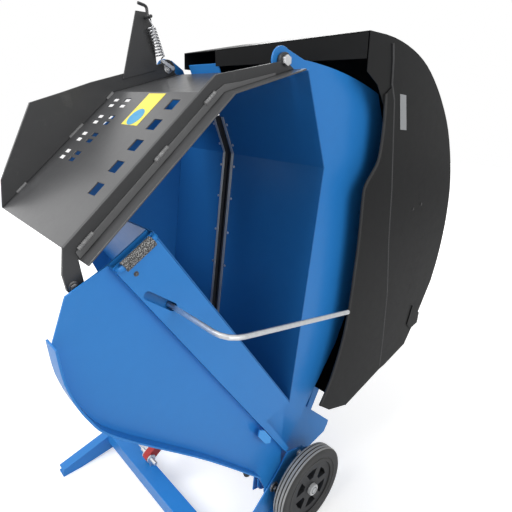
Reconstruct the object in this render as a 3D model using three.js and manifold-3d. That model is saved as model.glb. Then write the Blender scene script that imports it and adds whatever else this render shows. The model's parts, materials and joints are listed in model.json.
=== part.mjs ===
// A firewood circular saw: a V shaped trough rocks back about a low pivot and carries what
// lies in it into a blade under a black hood.
// X runs along the blade's axis with + at the near end, +Y runs back to the hood, +Z is up.
import * as THREE from 'three';
import { mergeVertices } from 'three/addons/utils/BufferGeometryUtils.js';
import Module from 'manifold-3d';

const wasm = await Module();
wasm.setup();

// Driving dimensions, in millimetres
const loadHeight = 1000; // nominal height where wood is laid; the side view's shares follow it
const seatGap = 0.3; // between pieces that touch
const runGap = 0.5; // round a shaft that turns
const overrun = 5; // how far a cutting tool passes the face that it cuts
const sheet = 3; // trough and flap sheet
const hoodSheet = 2;
const platePiece = 4; // plates, legs and brackets

// Rocking cradle
const rockTurn = THREE.MathUtils.degToRad(24);
const troughNearX = 308;
const troughFarX = -268;
const frontPlateX = 286;
const sectorPlateX = 260;
const sectorRise = 8.5; // the sector's arc stands this far outside the hinge
const earRadius = 28;
const farEarRadius = 24;
const lugRadius = 30;
const stripSheet = 3;
const rimBandWidth = 44;
const rimBandX = 270;
const slotWidth = 12;
const bridgeFarX = -102;
const bridgeNearX = 21;
const bridgeRise = 24; // above the blade's slot or the trough's top edge
const bridgeDrop = 48; // below the trough's top edge

// Flap over the trough
const flapFarX = -170;
const ribHeight = 32;
const ribThickness = 8;
const nearRibX = 266;
const ribEndRadius = 16;
const farRibEndRadius = 22;
const hingePinRadius = 6;
const hingeHeadRadius = 11;
const hingeHeadLength = 7;
const notchLength = 50;
const lugRoom = 3; // between the spring's lug and the flap's notch
const farBracketX = -182;

// Spring that helps the flap up
const springRadius = 10.5;
const springWire = 3.5;
const springCurls = 10;
const springLead = 12; // extra straight wire at the upper end
const springPinRadius = 4;
const springPinLength = 30;
const springOff = 15; // from the bracket's face to the spring's axis
const springFingerBend = 8;

// Handle, length stop and its clamp
const handleRadius = 5;
const handleDrop = 6; // from the strip's top edge to the handle's axis
const handleBend = 8;
const handleSteps = 28;
const sleeveRadius = 10;
const stopRadius = 5;
const stopNearX = 463;
const stopFarX = 190;
const stopBend = 40;
const guideRadius = 11;
const guideFarX = 196;
const stopSlotWidth = 16;
const knobRadius = 14;
const knobLength = 22;
const knobShank = 4;
const knobStem = 14;
const knobX = 232;

// Frame
const legX = 292;
const legFlange = 8; // beside the wheel
const legWideFlange = 30; // in front of the wheel
const footPadHeight = 8;
const railHeight = 50;
const sidePlateX = 240;
const pivotRadius = 15;
const pivotEnd = 300;
const beamDepth = 60;
const beamHeight = 36;
const rearFootWidth = 40;
const rearLegXs = [-205, 120];
const rearFootHeight = 8;
const latchX = -82;
const latchBoltRadius = 6;
const latchWidth = 30;
const latchThickness = 24;
const latchEarGap = 0.5;

// Wheels
const wheelInnerX = 324;
const wheelWidth = 40;
const wheelRadius = 125;
const wheelFelloe = 84; // tyre's inner radius
const axleRadius = 10;
const hubRadius = 24;
const spokeCount = 6;
const spokeWidth = 22;
const felloeWall = 20;
const rimInset = 6; // of the rim's faces from the tyre's sides
const capRadius = 17;
const capLength = 6;

// Blade and arbor
const bladeX = -32;
const bladeRadius = 350;
const bladeThickness = 3.2;
const toothCount = 56;
const toothHeight = 11;
const toothLeanShare = 0.25; // of the pitch, from a root to the next tip
const arborRadius = 15;
const flangeRadius = 50;
const flangeThickness = 10;
const nutRadius = 17;
const nutLength = 15;
const threadRadius = 10;
const housingRadius = 44;
const housingWall = 14;
const housingFarX = -276;
const housingNearX = -130;
const bearingWidth = 18;
const pedestalFarX = -236;
const pedestalNearX = -150;

// Motor and belt
const motorRadius = 70;
const motorStandOff = 4; // between the motor and the box in front of it
const motorFarX = -180;
const motorNearX = 50;
const motorWall = 22;
const motorFootHeight = 70;
const motorShaftRadius = 12;
const motorShaftEnd = -130;
const arborPulleyRadius = 60;
const motorPulleyRadius = 34;
const pulleyFarX = -312;
const pulleyWidth = 26;
const beltThickness = 8;
const beltWidth = 16;
const guardGap = 12;
const guardWall = 2;
const guardFarX = -322;
const guardPlate = 3;

// Hood
const hoodFarX = -108;
const hoodNearX = 312;
const headerFarX = 21;
const frontPanelSheet = 2.5;

// Switch box on the hood's far side
const boxDepth = 60;
const boxWall = 4;
const buttonRadius = 13;
const buttonTravel = 5;
const buttonHead = 8;
const buttonStem = 8;
const inletRadius = 26;
const inletLength = 42;
const inletBore = 20;
const inletFloor = 12;

// Counts of sides
const roundSides = 24;
const hexSides = 6;
const smallSides = 12;
const wireSides = 5;
const curlSteps = 8;
const tubeSteps = 20;
const arcSteps = 18;
const rimSteps = 22;
const borderSteps = 30;
const hoodSteps = 34;

// Places in the side view, as shares of loadHeight: [back, up]
const pivotShare = [0, 0.15];
const axleShare = [0.092, 0.125];
const hingeShare = [0.034, 1.253];
const bladeShare = [0.455, 0.72];
const motorHeightShare = 0.185;
const stopShare = [-0.284, 0.826];
const stopTipShare = [0.045, 0.757];
const stopSlotShare = [-0.333, 0.866];
const latchPivotShare = [-0.19, 0.118];
const latchTipShare = [-0.128, 0.16];
const troughShares = [[-0.311, 0.978], [0.042, 0.433], [0.132, 1.033], [0.064, 1.235]];
const stripShares = [[-0.389, 0.932], [0.035, 0.261]];
const stripHeelShares = [[0.046, 0.27], [-0.042, 0.417]];
const rimShares = [
  [-0.063, 0.245], [-0.233, 0.431], [-0.415, 0.61], [-0.462, 0.679], [-0.487, 0.758], [-0.492, 0.83],
];
const rimTopShares = [[-0.462, 0.9], [-0.389, 0.932]];
const farArmShares = [
  [-0.308, 0.983], [-0.316, 0.97], [-0.225, 0.78], [-0.03, 0.25], [-0.026, 0.165], [0.03, 0.16],
  [0.05, 0.433], [0.107, 0.86], [0.136, 1.033], [0.067, 1.232],
];
const sectorRearShares = [
  [0.425, 1.13], [0.448, 1.06], [0.445, 0.95], [0.42, 0.82], [0.375, 0.65], [0.29, 0.48], [0.15, 0.3],
];
const sectorTurnShares = [0.22, 0.87]; // of the rocking turn, where the sector's arc starts and ends
const flapShares = [[0.06, 1.238], [-0.127, 1.194], [-0.427, 0.948]];
const flapHookShares = [[-0.455, 0.928], [-0.452, 0.9], [-0.43, 0.872], [-0.416, 0.88], [-0.424, 0.91]];
const gussetShares = [[0.026, 1.267], [-0.183, 1.216], [-0.254, 1.194], [-0.33, 1.172], [-0.418, 1.01]];
const springPlateShares = [
  [-0.102, 1.224], [-0.002, 1.248], [-0.006, 1.33], [-0.009, 1.366], [-0.016, 1.38], [-0.05, 1.381],
];
const springFingerShares = [[-0.018, 1.37], [-0.018, 1.394], [-0.042, 1.399]];
const springTopShare = [-0.026, 1.368];
const springFootShare = [0.006, 1.268];
const farBracketShares = [
  [0.056, 1.274], [0.092, 1.25], [0.13, 1.16], [0.115, 1.13], [0.1, 1.13], [0.066, 1.2352],
];
const legShares = [
  [0.056, 0.238], [0.1, 0.222], [0.142, 0.2], [0.15, 0.15], [0.128, 0.105], [0.04, 0.08], [-0.03, 0.048],
  [-0.12, 0.02], [-0.33, 0], [-0.392, 0], [-0.39, 0.026], [-0.16, 0.082], [-0.074, 0.114], [0.024, 0.2],
];
const footPadShares = [-0.392, -0.334];
const railShares = [-0.23, -0.18];
const railTopShare = 0.092;
const sidePlateShares = {
  far: [
    [-0.03, 0.115], [0.075, 0.085], [0.125, 0.09], [0.44, 0.2], [0.44, 0.262], [0.3, 0.262], [0.25, 0.33],
    [0.1, 0.33], [-0.02, 0.2],
  ],
  near: [
    [-0.03, 0.115], [0.075, 0.085], [0.125, 0.09], [0.216, 0.113], [0.292, 0.127], [0.307, 0.148],
    [0.312, 0.162], [0.128, 0.354], [0.1, 0.34], [-0.02, 0.2],
  ],
};
const chuteShares = [[0.104, 0.19], [0.238, 0.19], [0.238, 0.233], [0.126, 0.35], [0.104, 0.325]];
const spoutShares = [[0.126, 0.35], [0.309, 0.159], [0.306, 0.15], [0.29, 0.13], [0.214, 0.117], [0.18, 0.19]];
const spoutFarX = 66;
const rearFootShares = [0.255, 0.285];
const pedestalWallShare = 0.12; // of the pedestal's depth
const pedestalTopShares = [[0.506, 0.715], [0.404, 0.715]];
const hoodTopShares = [0.053, 1.288];
const hoodCurveShares = [
  [0.263, 1.322], [0.36, 1.316], [0.45, 1.297], [0.53, 1.266], [0.6, 1.22], [0.668, 1.158], [0.73, 1.082],
  [0.78, 0.985], [0.808, 0.9], [0.818, 0.82], [0.817, 0.74], [0.802, 0.645], [0.775, 0.56],
];
const hoodFloorShares = [
  [0.722, 0.475], [0.678, 0.407], [0.637, 0.352], [0.509, 0.322], [0.482, 0.32], [0.299, 0.274],
];
const nearFrontShares = [
  [0.293, 0.28], [0.305, 0.4], [0.3, 0.7], [0.3, 0.93],
  [0.345, 1.03], [0.357, 1.15], [0.31, 1.21], [0.263, 1.238],
];
const farArcRadiusShare = 1.1;
const farArcTurnShares = [0.11, 1.15]; // of the rocking turn
const farFrontShares = [[0.26, 0.34], [0.2, 0.425], [0.505, 0.89]];
const panelBorderShares = [
  [0.348, 1.19], [0.353, 1.134], [0.351, 1.07], [0.343, 1.027], [0.322, 1], [0.297, 0.973], [0.289, 0.945],
  [0.288, 0.85], [0.283, 0.76], [0.262, 0.57], [0.215, 0.43], [0.165, 0.35],
];
const panelBackShares = [
  [0.21, 0.31], [0.293, 0.28], [0.475, 0.328], [0.475, 0.45], [0.467, 0.611], [0.438, 0.796], [0.424, 0.94],
  [0.4, 1.089], [0.387, 1.174], [0.37, 1.205],
];
const headerLowShares = [1.252, 1.265];
const headerPlanShares = [0.053, 0.263];
const boxShares = [[0.57, 0.65], [0.6, 0.72]];
const buttonShares = { start: [0.61, 0.692], stop: [0.61, 0.63] };

// Windows and groups of holes in the flap: along the sheet's slope and across the machine
const windowAcrossShare = 0.655; // of the flap's width, from its far edge
const windowAlongShares = [0.0925, 0.2395, 0.3865, 0.5335, 0.68]; // of the slope, from the fold
const windowSize = { across: 31, along: 29 };
const holeAcrossShare = 0.177;
const holeAlongShares = [0.095, 0.241, 0.388, 0.535];
const holeSize = { across: 28, along: 11 };
const holePitch = { across: 57, along: 19 };

// Materials
const finish = (color, roughness, metalness) => new THREE.MeshStandardMaterial({ color, roughness, metalness });
const bluePaint = () => finish(0x3d7cc4, 0.45, 0.1);
const blackPaint = () => finish(0x2f3133, 0.35, 0.1);
const zinc = () => finish(0xb9bec2, 0.35, 0.9);
const steel = () => finish(0x8f9499, 0.4, 0.9);
const darkRubber = () => finish(0x232425, 0.85, 0);
const darkPlastic = () => finish(0x2b2d30, 0.6, 0);
const palePlastic = () => finish(0xb8bcc0, 0.5, 0);
const redPaint = () => finish(0xb3332e, 0.5, 0.1);
const greenPlastic = () => finish(0x2f8f4e, 0.45, 0);

// Places worked out from the shares
const place = ([back, up]) => [back * loadHeight, up * loadHeight];
const places = (shares) => shares.map(place);
const pivot = place(pivotShare);
const axle = place(axleShare);
const hinge = place(hingeShare);
const arbor = place(bladeShare);
const chute = places(chuteShares);
const motor = [chute[1][0] + motorStandOff + motorRadius, motorHeightShare * loadHeight];
const stopAxis = place(stopShare);
const troughLine = places(troughShares);
const flapLine = places(flapShares);
const distance = (a, b) => Math.hypot(a[0] - b[0], a[1] - b[1]);
const sectorRadius = distance(hinge, pivot) + sectorRise;

// Flat drawing helpers in the side view
const vectors = (outline) => outline.map(([y, z]) => new THREE.Vector2(y, z));

const smoothLine = (points, steps) => (
  new THREE.SplineCurve(vectors(points)).getPoints(steps).map((point) => point.toArray())
);
const hoodLine = [
  place(hoodTopShares), ...smoothLine(places(hoodCurveShares), hoodSteps), ...places(hoodFloorShares),
];

const circle = ([y, z], radius, sides = roundSides) => Array.from({ length: sides }, (_, step) => {
  const turn = (step / sides) * 2 * Math.PI - Math.PI / 2;
  return [y + radius * Math.cos(turn), z + radius * Math.sin(turn)];
});

// A polygon's corners stand outside a true circle by this much, so that its flats clear the circle
const around = (radius, sides = roundSides) => radius / Math.cos(Math.PI / sides);

const pivotArc = (radius, from, to) => Array.from({ length: arcSteps + 1 }, (_, step) => {
  const turn = from + ((to - from) * step) / arcSteps;
  return [pivot[0] + radius * Math.sin(turn), pivot[1] + radius * Math.cos(turn)];
});

const unit = ([y, z]) => {
  const length = Math.hypot(y, z);
  return [y / length, z / length];
};

const between = (a, b, share) => [a[0] + (b[0] - a[0]) * share, a[1] + (b[1] - a[1]) * share];

// Moves an open line sideways to its left, with mitred corners
const offset = (line, distance) => line.map((point, index) => {
  const before = line[Math.max(index - 1, 0)];
  const after = line[Math.min(index + 1, line.length - 1)];
  const inward = index > 0 ? unit([point[0] - before[0], point[1] - before[1]]) : null;
  const outward = index < line.length - 1 ? unit([after[0] - point[0], after[1] - point[1]]) : null;
  const first = inward ?? outward;
  const second = outward ?? inward;
  const middle = unit([-(first[1] + second[1]), first[0] + second[0]]);
  const reach = distance / (middle[0] * -first[1] + middle[1] * first[0]);
  return [point[0] + middle[0] * reach, point[1] + middle[1] * reach];
});

const lengthen = (line, extra) => {
  const last = line.length - 1;
  const start = unit([line[0][0] - line[1][0], line[0][1] - line[1][1]]);
  const end = unit([line[last][0] - line[last - 1][0], line[last][1] - line[last - 1][1]]);
  const result = line.map((point) => [...point]);
  result[0] = [line[0][0] + start[0] * extra, line[0][1] + start[1] * extra];
  result[last] = [line[last][0] + end[0] * extra, line[last][1] + end[1] * extra];
  return result;
};

const sheetOutline = (line, from, to) => [...offset(line, from), ...offset(line, to).reverse()];

// Solids
const sideways = new THREE.Matrix4().makeBasis(
  new THREE.Vector3(0, 1, 0), new THREE.Vector3(0, 0, 1), new THREE.Vector3(1, 0, 0),
);

const plate = (outline, farX, nearX, ...holes) => {
  const shape = new THREE.Shape(vectors(outline));
  shape.holes = holes.map((hole) => new THREE.Path(vectors(hole)));
  const geometry = new THREE.ExtrudeGeometry(shape, { depth: nearX - farX, bevelEnabled: false });
  return geometry.applyMatrix4(sideways).translate(farX, 0, 0);
};

const rod = (centre, radius, farX, nearX, sides = roundSides) => (
  plate(circle(centre, radius, sides), farX, nearX)
);

const tube = (centre, radius, bore, farX, nearX, sides = roundSides) => (
  plate(circle(centre, radius, sides), farX, nearX, circle(centre, bore, sides))
);

const block = (farX, nearX, front, back, low, high) => (
  new THREE.BoxGeometry(nearX - farX, back - front, high - low)
    .translate((farX + nearX) / 2, (front + back) / 2, (low + high) / 2)
);

// A round bar between two points in space
const bar = (from, to, radius, sides = smallSides) => {
  const span = new THREE.Vector3().subVectors(to, from);
  const geometry = new THREE.CylinderGeometry(radius, radius, span.length(), sides);
  const turn = new THREE.Quaternion().setFromUnitVectors(new THREE.Vector3(0, 1, 0), span.clone().normalize());
  const middle = new THREE.Vector3().lerpVectors(from, to, 0.5);
  return geometry.applyQuaternion(turn).translate(middle.x, middle.y, middle.z);
};

// A rod along straight runs that are joined by bends
const bentRod = (corners, radius, bend, steps) => {
  const path = new THREE.CurvePath();
  let start = corners[0];
  corners.slice(1, -1).forEach((corner, index) => {
    const next = corners[index + 2];
    const before = new THREE.Vector3().subVectors(start, corner).setLength(bend).add(corner);
    const after = new THREE.Vector3().subVectors(next, corner).setLength(bend).add(corner);
    path.add(new THREE.LineCurve3(start, before));
    path.add(new THREE.QuadraticBezierCurve3(before, corner, after));
    start = after;
  });
  path.add(new THREE.LineCurve3(start, corners.at(-1)));
  const section = new THREE.Shape(vectors(circle([0, 0], radius, curlSteps)));
  return new THREE.ExtrudeGeometry(section, { steps, bevelEnabled: false, extrudePath: path });
};

const solid = (geometry) => {
  const bare = geometry.clone();
  bare.deleteAttribute('normal');
  bare.deleteAttribute('uv');
  const merged = mergeVertices(bare);
  return new wasm.Manifold(new wasm.Mesh({
    numProp: 3,
    vertProperties: new Float32Array(merged.attributes.position.array),
    triVerts: new Uint32Array(merged.index.array),
  }));
};

const shell = (body) => {
  const mesh = body.getMesh();
  const geometry = new THREE.BufferGeometry();
  geometry.setAttribute('position', new THREE.BufferAttribute(mesh.vertProperties, mesh.numProp));
  geometry.setIndex(new THREE.BufferAttribute(mesh.triVerts, 1));
  geometry.computeVertexNormals();
  return geometry;
};

const join = (...pieces) => shell(pieces.map(solid).reduce((whole, piece) => whole.add(piece)));
const cut = (base, ...tools) => (
  shell(tools.map(solid).reduce((whole, tool) => whole.subtract(tool), solid(base)))
);

const assembly = new THREE.Group();
const add = (name, geometry, material) => {
  const mesh = new THREE.Mesh(geometry, material);
  mesh.name = name;
  assembly.add(mesh);
  return mesh;
};

// The space that the trough's sheet takes, with its gap, cut out of what meets it
const troughSpace = () => plate(
  sheetOutline(lengthen(troughLine, runGap), seatGap, -sheet - seatGap),
  troughFarX - overrun, troughNearX + overrun,
);
const pivotBore = () => circle(pivot, around(pivotRadius + runGap));

// Where the blade stands in the cradle's own frame when the cradle is rocked right back
const rockedBlade = () => {
  const [y, z] = [arbor[0] - pivot[0], arbor[1] - pivot[1]];
  return [
    pivot[0] + y * Math.cos(rockTurn) - z * Math.sin(rockTurn),
    pivot[1] + y * Math.sin(rockTurn) + z * Math.cos(rockTurn),
  ];
};

// How far along a line, from its start, a circle's rim is met for the last time
const reachOnLine = (from, to, centre, radius) => {
  const along = unit([to[0] - from[0], to[1] - from[1]]);
  const [y, z] = [centre[0] - from[0], centre[1] - from[1]];
  const away = z * along[0] - y * along[1];
  return y * along[0] + z * along[1] + Math.sqrt(Math.max(radius * radius - away * away, 0));
};

const makeTrough = () => {
  const half = slotWidth / 2;
  const slot = rod(rockedBlade(), bladeRadius + overrun, bladeX - half, bladeX + half);
  add('trough', cut(plate(sheetOutline(troughLine, 0, -sheet), troughFarX, troughNearX), slot), bluePaint());
  const [fold, top] = troughLine.slice(-2);
  const height = distance(fold, top);
  const slotEnd = reachOnLine(fold, top, rockedBlade(), bladeRadius + overrun);
  const line = [
    between(fold, top, (height - bridgeDrop) / height),
    between(fold, top, (Math.max(slotEnd, height) + bridgeRise) / height),
  ];
  const back = -sheet - seatGap;
  const bridge = plate(sheetOutline(line, back, back - platePiece), bridgeFarX, bridgeNearX);
  add('bridge_bracket', cut(bridge, slot), bluePaint());
};

const rimLine = () => smoothLine(places(rimShares), rimSteps);

const makeCradlePlates = () => {
  const wallMiddle = offset(troughLine, -sheet / 2);
  const [lip, bottom, fold, top] = wallMiddle;
  const lugTop = pivot[1] + pivotRadius;
  const stopHole = rod(
    stopAxis, around(stopRadius + runGap), frontPlateX - overrun, frontPlateX + overrun, smallSides,
  );
  const pivotHole = (x) => rod(pivot, around(pivotRadius + runGap), x - overrun, x + platePiece + overrun);
  const frontOutline = [
    [pivot[0] - lugRadius, lugTop], ...rimLine(), ...places(rimTopShares), lip, bottom,
    [pivot[0] + lugRadius, lugTop],
  ];
  const front = join(
    plate(frontOutline, frontPlateX, frontPlateX + platePiece),
    rod(pivot, lugRadius, frontPlateX, frontPlateX + platePiece),
  );
  add('cradle_front_plate', cut(front, troughSpace(), pivotHole(frontPlateX), stopHole), bluePaint());

  const [arcStart, arcEnd] = sectorTurnShares.map((share) => share * rockTurn);
  const sectorOutline = [
    [hinge[0], hinge[1] + earRadius],
    ...pivotArc(sectorRadius, arcStart, arcEnd), ...places(sectorRearShares),
    [pivot[0] + lugRadius, lugTop], [pivot[0] - lugRadius, lugTop], bottom, fold, top,
    [hinge[0] + earRadius / 2, hinge[1] - earRadius / 2],
  ];
  const sector = join(
    plate(sectorOutline, sectorPlateX, sectorPlateX + platePiece),
    rod(hinge, earRadius, sectorPlateX, sectorPlateX + platePiece),
    rod(pivot, lugRadius, sectorPlateX, sectorPlateX + platePiece),
  );
  const earHole = rod(
    hinge, around(hingePinRadius + seatGap, smallSides),
    sectorPlateX - overrun, sectorPlateX + platePiece + overrun,
    smallSides,
  );
  add('sector_plate', cut(sector, troughSpace(), pivotHole(sectorPlateX), earHole), bluePaint());

  const farX = troughFarX - platePiece;
  const farArm = join(
    plate(places(farArmShares), farX, troughFarX), rod(pivot, lugRadius, farX, troughFarX),
  );
  add('far_arm', cut(farArm, pivotHole(farX)), bluePaint());
  const rim = offset(rimLine(), seatGap);
  add('rim_band', plate(sheetOutline(rim, 0, platePiece), rimBandX, rimBandX + rimBandWidth), bluePaint());
};

const makeEndStrip = () => {
  const edge = places(stripShares);
  const wallMiddle = offset(troughLine, -sheet / 2);
  const outline = [...edge, ...places(stripHeelShares), wallMiddle[1], wallMiddle[0]];
  const faceX = troughNearX - stripSheet;
  const body = join(
    plate(outline, faceX, troughNearX),
    plate(sheetOutline(edge, 0, stripSheet), frontPlateX + platePiece, troughNearX),
  );
  const slotEnd = place(stopSlotShare);
  const half = stopSlotWidth / 2;
  const slot = join(
    rod(stopAxis, half, faceX - overrun, troughNearX + overrun, smallSides),
    rod(slotEnd, half, faceX - overrun, troughNearX + overrun, smallSides),
    plate(sheetOutline([stopAxis, slotEnd], -half, half), faceX - overrun, troughNearX + overrun),
  );
  add('end_strip', cut(body, troughSpace(), slot), bluePaint());
};

const makeHandle = () => {
  const [low] = places(stripShares);
  const high = troughLine[0];
  const line = offset([low, high], -handleDrop);
  const inset = handleRadius / distance(low, high);
  const ends = [between(...line, inset), between(...line, 1 - inset)];
  const x = troughNearX + seatGap + sleeveRadius;
  const at = ([y, z], across) => new THREE.Vector3(across, y, z);
  const face = troughNearX + seatGap;
  add('handle_bar', bentRod(
    [at(ends[0], face), at(ends[0], x), at(ends[1], x), at(ends[1], face)],
    handleRadius, handleBend, handleSteps,
  ), bluePaint());
  const trim = (handleBend + seatGap) / distance(...ends);
  const sleeveEnds = [between(...ends, trim), between(...ends, 1 - trim)].map((end) => at(end, x));
  const bore = around(handleRadius, smallSides) + seatGap;
  add('handle_sleeve', cut(
    bar(...sleeveEnds, sleeveRadius), bar(at(ends[0], x), at(ends[1], x), bore),
  ), darkPlastic());
};

const makeStop = () => {
  const [y, z] = stopAxis;
  const [tipY, tipZ] = place(stopTipShare);
  add('length_stop', bentRod([
    new THREE.Vector3(stopFarX, y, z), new THREE.Vector3(stopNearX, y, z),
    new THREE.Vector3(stopNearX, tipY, tipZ),
  ], stopRadius, stopBend, tubeSteps * 2), zinc());
  const bore = around(stopRadius + runGap, smallSides);
  const guide = tube(stopAxis, guideRadius, bore, guideFarX, frontPlateX, smallSides);
  const edge = places(stripShares);
  const down = unit([edge[0][1] - edge[1][1], edge[1][0] - edge[0][0]]).map((part) => -part);
  const at = (reach) => new THREE.Vector3(knobX, y + down[0] * reach, z + down[1] * reach);
  const screwHole = bar(
    at(0), at(guideRadius + overrun), around(knobShank, smallSides) + seatGap, smallSides,
  );
  add('stop_guide', cut(guide, screwHole), bluePaint());
  const tip = stopRadius + runGap + seatGap;
  const stemEnd = guideRadius + knobStem;
  add('clamp_knob', join(
    bar(at(tip), at(stemEnd + runGap), knobShank, smallSides),
    bar(at(stemEnd), at(stemEnd + knobLength), knobRadius, smallSides),
  ), darkPlastic());
};

const springAcross = () => flapFarX + ribThickness + platePiece + springOff;
const springLugSpan = () => [springAcross() - springPinRadius, springAcross() + springPinRadius];

const makeHingePins = () => {
  const nearHead = nearRibX + ribThickness + seatGap;
  add('hinge_bolt_near', join(
    rod(hinge, hingePinRadius, sectorPlateX - ribThickness, nearHead + runGap, smallSides),
    rod(hinge, hingeHeadRadius, nearHead, nearHead + hingeHeadLength, hexSides),
  ), zinc());
  const farHead = flapFarX + ribThickness + seatGap;
  const lug = springLugSpan();
  const springFoot = place(springFootShare);
  add('hinge_bolt_far', join(
    rod(hinge, hingePinRadius, farBracketX - ribThickness, lug[1], smallSides),
    rod(hinge, hingeHeadRadius, farHead, farHead + hingeHeadLength, hexSides),
    plate(sheetOutline([hinge, springFoot], -springPinRadius, springPinRadius), ...lug),
    rod(springFoot, springPinRadius, ...lug, smallSides),
  ), zinc());
  const bracket = join(
    plate([hinge, ...places(farBracketShares)], farBracketX, farBracketX + platePiece),
    rod(hinge, farEarRadius, farBracketX, farBracketX + platePiece),
  );
  const hole = rod(
    hinge, around(hingePinRadius + seatGap, smallSides),
    farBracketX - overrun, farBracketX + platePiece + overrun,
    smallSides,
  );
  add('far_hinge_bracket', cut(bracket, troughSpace(), hole), bluePaint());
};

// Flap
const slope = () => {
  const [, fold, front] = flapLine;
  return { fold, along: unit([front[0] - fold[0], front[1] - fold[1]]), length: distance(fold, front) };
};

// A cutting tool through the sheet: its middle across the machine and down the slope, and its size
const flapTool = (middleX, reach, size) => {
  const { fold, along } = slope();
  const end = (sign) => fold.map((part, index) => part + along[index] * (reach + (sign * size.along) / 2));
  return plate(
    sheetOutline([end(-1), end(1)], -overrun, sheet + overrun),
    middleX - size.across / 2, middleX + size.across / 2,
  );
};

const makeFlap = () => {
  const { length } = slope();
  const across = (share) => flapFarX + (troughNearX - flapFarX) * share;
  const windows = windowAlongShares.map((share) => flapTool(across(windowAcrossShare), length * share, windowSize));
  const holes = holeAlongShares.flatMap((share) => [-1, 1].flatMap((row) => [-1, 1].map((column) => flapTool(
    across(holeAcrossShare) + (column * holePitch.across) / 2,
    length * share + (row * holePitch.along) / 2, holeSize,
  ))));
  const notch = block(
    sectorPlateX - overrun, nearRibX, flapLine[0][0] - notchLength - earRadius, flapLine[0][0] + notchLength,
    flapLine[0][1] - notchLength, flapLine[0][1] + notchLength,
  );
  const [lugFar, lugNear] = springLugSpan();
  const lugNotch = block(
    lugFar - lugRoom, lugNear + lugRoom, hinge[0] - notchLength, flapLine[0][0] + notchLength,
    flapLine[0][1] - notchLength, flapLine[0][1] + notchLength,
  );
  const body = plate(sheetOutline(flapLine, 0, sheet), flapFarX, troughNearX);
  add('flap_sheet', cut(body, ...windows, ...holes, notch, lugNotch), blackPaint());

  const foot = offset(flapLine, -seatGap);
  const crest = offset(flapLine, -ribHeight);
  const ribFar = nearRibX;
  const ribNear = nearRibX + ribThickness;
  const ribOutline = [foot[0], foot[1], foot[2], ...places(flapHookShares).reverse(), crest[2], crest[1], hinge];
  const rib = join(plate(ribOutline, ribFar, ribNear), rod(hinge, ribEndRadius, ribFar, ribNear));
  const pinBore = around(hingePinRadius + runGap, smallSides);
  add('near_rib', cut(
    rib, rod(hinge, pinBore, ribFar - overrun, ribNear + overrun, smallSides),
    plate(sheetOutline(flapLine, -seatGap, ribHeight), ribFar - overrun, ribNear + overrun),
  ), blackPaint());

  const gussetNear = flapFarX + ribThickness;
  const gusset = join(
    plate([...places(gussetShares), foot[2], foot[1], foot[0]], flapFarX, gussetNear),
    rod(hinge, farRibEndRadius, flapFarX, gussetNear),
  );
  add('far_rib', cut(
    gusset, rod(hinge, pinBore, flapFarX - overrun, gussetNear + overrun, smallSides),
    plate(sheetOutline(flapLine, -seatGap, ribHeight), flapFarX - overrun, gussetNear + overrun),
  ), blackPaint());

  const plateNear = gussetNear + platePiece;
  const springTop = place(springTopShare);
  const finger = places(springFingerShares).map(
    ([y, z]) => new THREE.Vector3((gussetNear + plateNear) / 2, y, z),
  );
  add('spring_bracket', join(
    plate(places(springPlateShares), gussetNear + seatGap, plateNear + seatGap),
    rod(springTop, springPinRadius, gussetNear + seatGap, plateNear + springPinLength, smallSides),
    bentRod(finger, springPinRadius, springFingerBend, tubeSteps),
  ), blackPaint());
};

const springCoilSpan = () => (
  distance(place(springTopShare), place(springFootShare)) - springLead
  - 2 * (springPinRadius + seatGap + 2 * springWire)
);

// One unbroken wire: a straight end, the curls and the other straight end
const makeSpring = () => {
  const x = springAcross();
  const top = place(springTopShare);
  const foot = place(springFootShare);
  const span = distance(top, foot);
  const down = unit([foot[0] - top[0], foot[1] - top[1]]);
  const reach = springPinRadius + seatGap;
  const coilSpan = springCoilSpan();
  const axis = new THREE.Vector3(0, ...down);
  const side = new THREE.Vector3(1, 0, 0);
  const front = new THREE.Vector3().crossVectors(axis, side);
  const origin = new THREE.Vector3(x, ...top);
  const spot = (drop, radius, turn) => origin.clone()
    .addScaledVector(axis, drop)
    .addScaledVector(side, radius * Math.cos(turn))
    .addScaledVector(front, radius * Math.sin(turn));
  const points = [spot(reach, 0, 0), spot(reach + springWire, 0, 0)];
  const steps = springCurls * curlSteps;
  for (let step = 0; step <= steps; step += 1) {
    const turn = (step / curlSteps) * 2 * Math.PI;
    points.push(spot(reach + springLead + 2 * springWire + (coilSpan * step) / steps, springRadius, turn));
  }
  points.push(spot(span - reach - springWire, 0, 0), spot(span - reach, 0, 0));
  return sweep(points, springWire / 2, wireSides);
};

// A closed tube of flat facets round a list of points, with its section carried along by the shortest turn
const sweep = (points, radius, sides) => {
  const tangents = points.map((point, index) => new THREE.Vector3().subVectors(
    points[Math.min(index + 1, points.length - 1)], points[Math.max(index - 1, 0)],
  ).normalize());
  let across = new THREE.Vector3(1, 0, 0);
  const rings = points.map((point, index) => {
    const tangent = tangents[index];
    across = across.clone().addScaledVector(tangent, -across.dot(tangent)).normalize();
    const up = new THREE.Vector3().crossVectors(tangent, across);
    return Array.from({ length: sides }, (_, side) => {
      const turn = (side / sides) * 2 * Math.PI;
      return point.clone()
        .addScaledVector(across, radius * Math.cos(turn))
        .addScaledVector(up, radius * Math.sin(turn));
    });
  });
  const corners = rings.flat();
  const triangles = [];
  for (let ring = 0; ring < rings.length - 1; ring += 1) {
    for (let side = 0; side < sides; side += 1) {
      const next = (side + 1) % sides;
      const [a, b] = [ring * sides + side, ring * sides + next];
      const [c, d] = [a + sides, b + sides];
      triangles.push(a, b, d, a, d, c);
    }
  }
  const last = (rings.length - 1) * sides;
  for (let side = 1; side < sides - 1; side += 1) {
    triangles.push(0, side + 1, side, last, last + side, last + side + 1);
  }
  const geometry = new THREE.BufferGeometry().setFromPoints(corners);
  geometry.setIndex(triangles);
  geometry.computeVertexNormals();
  return geometry;
};

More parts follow.
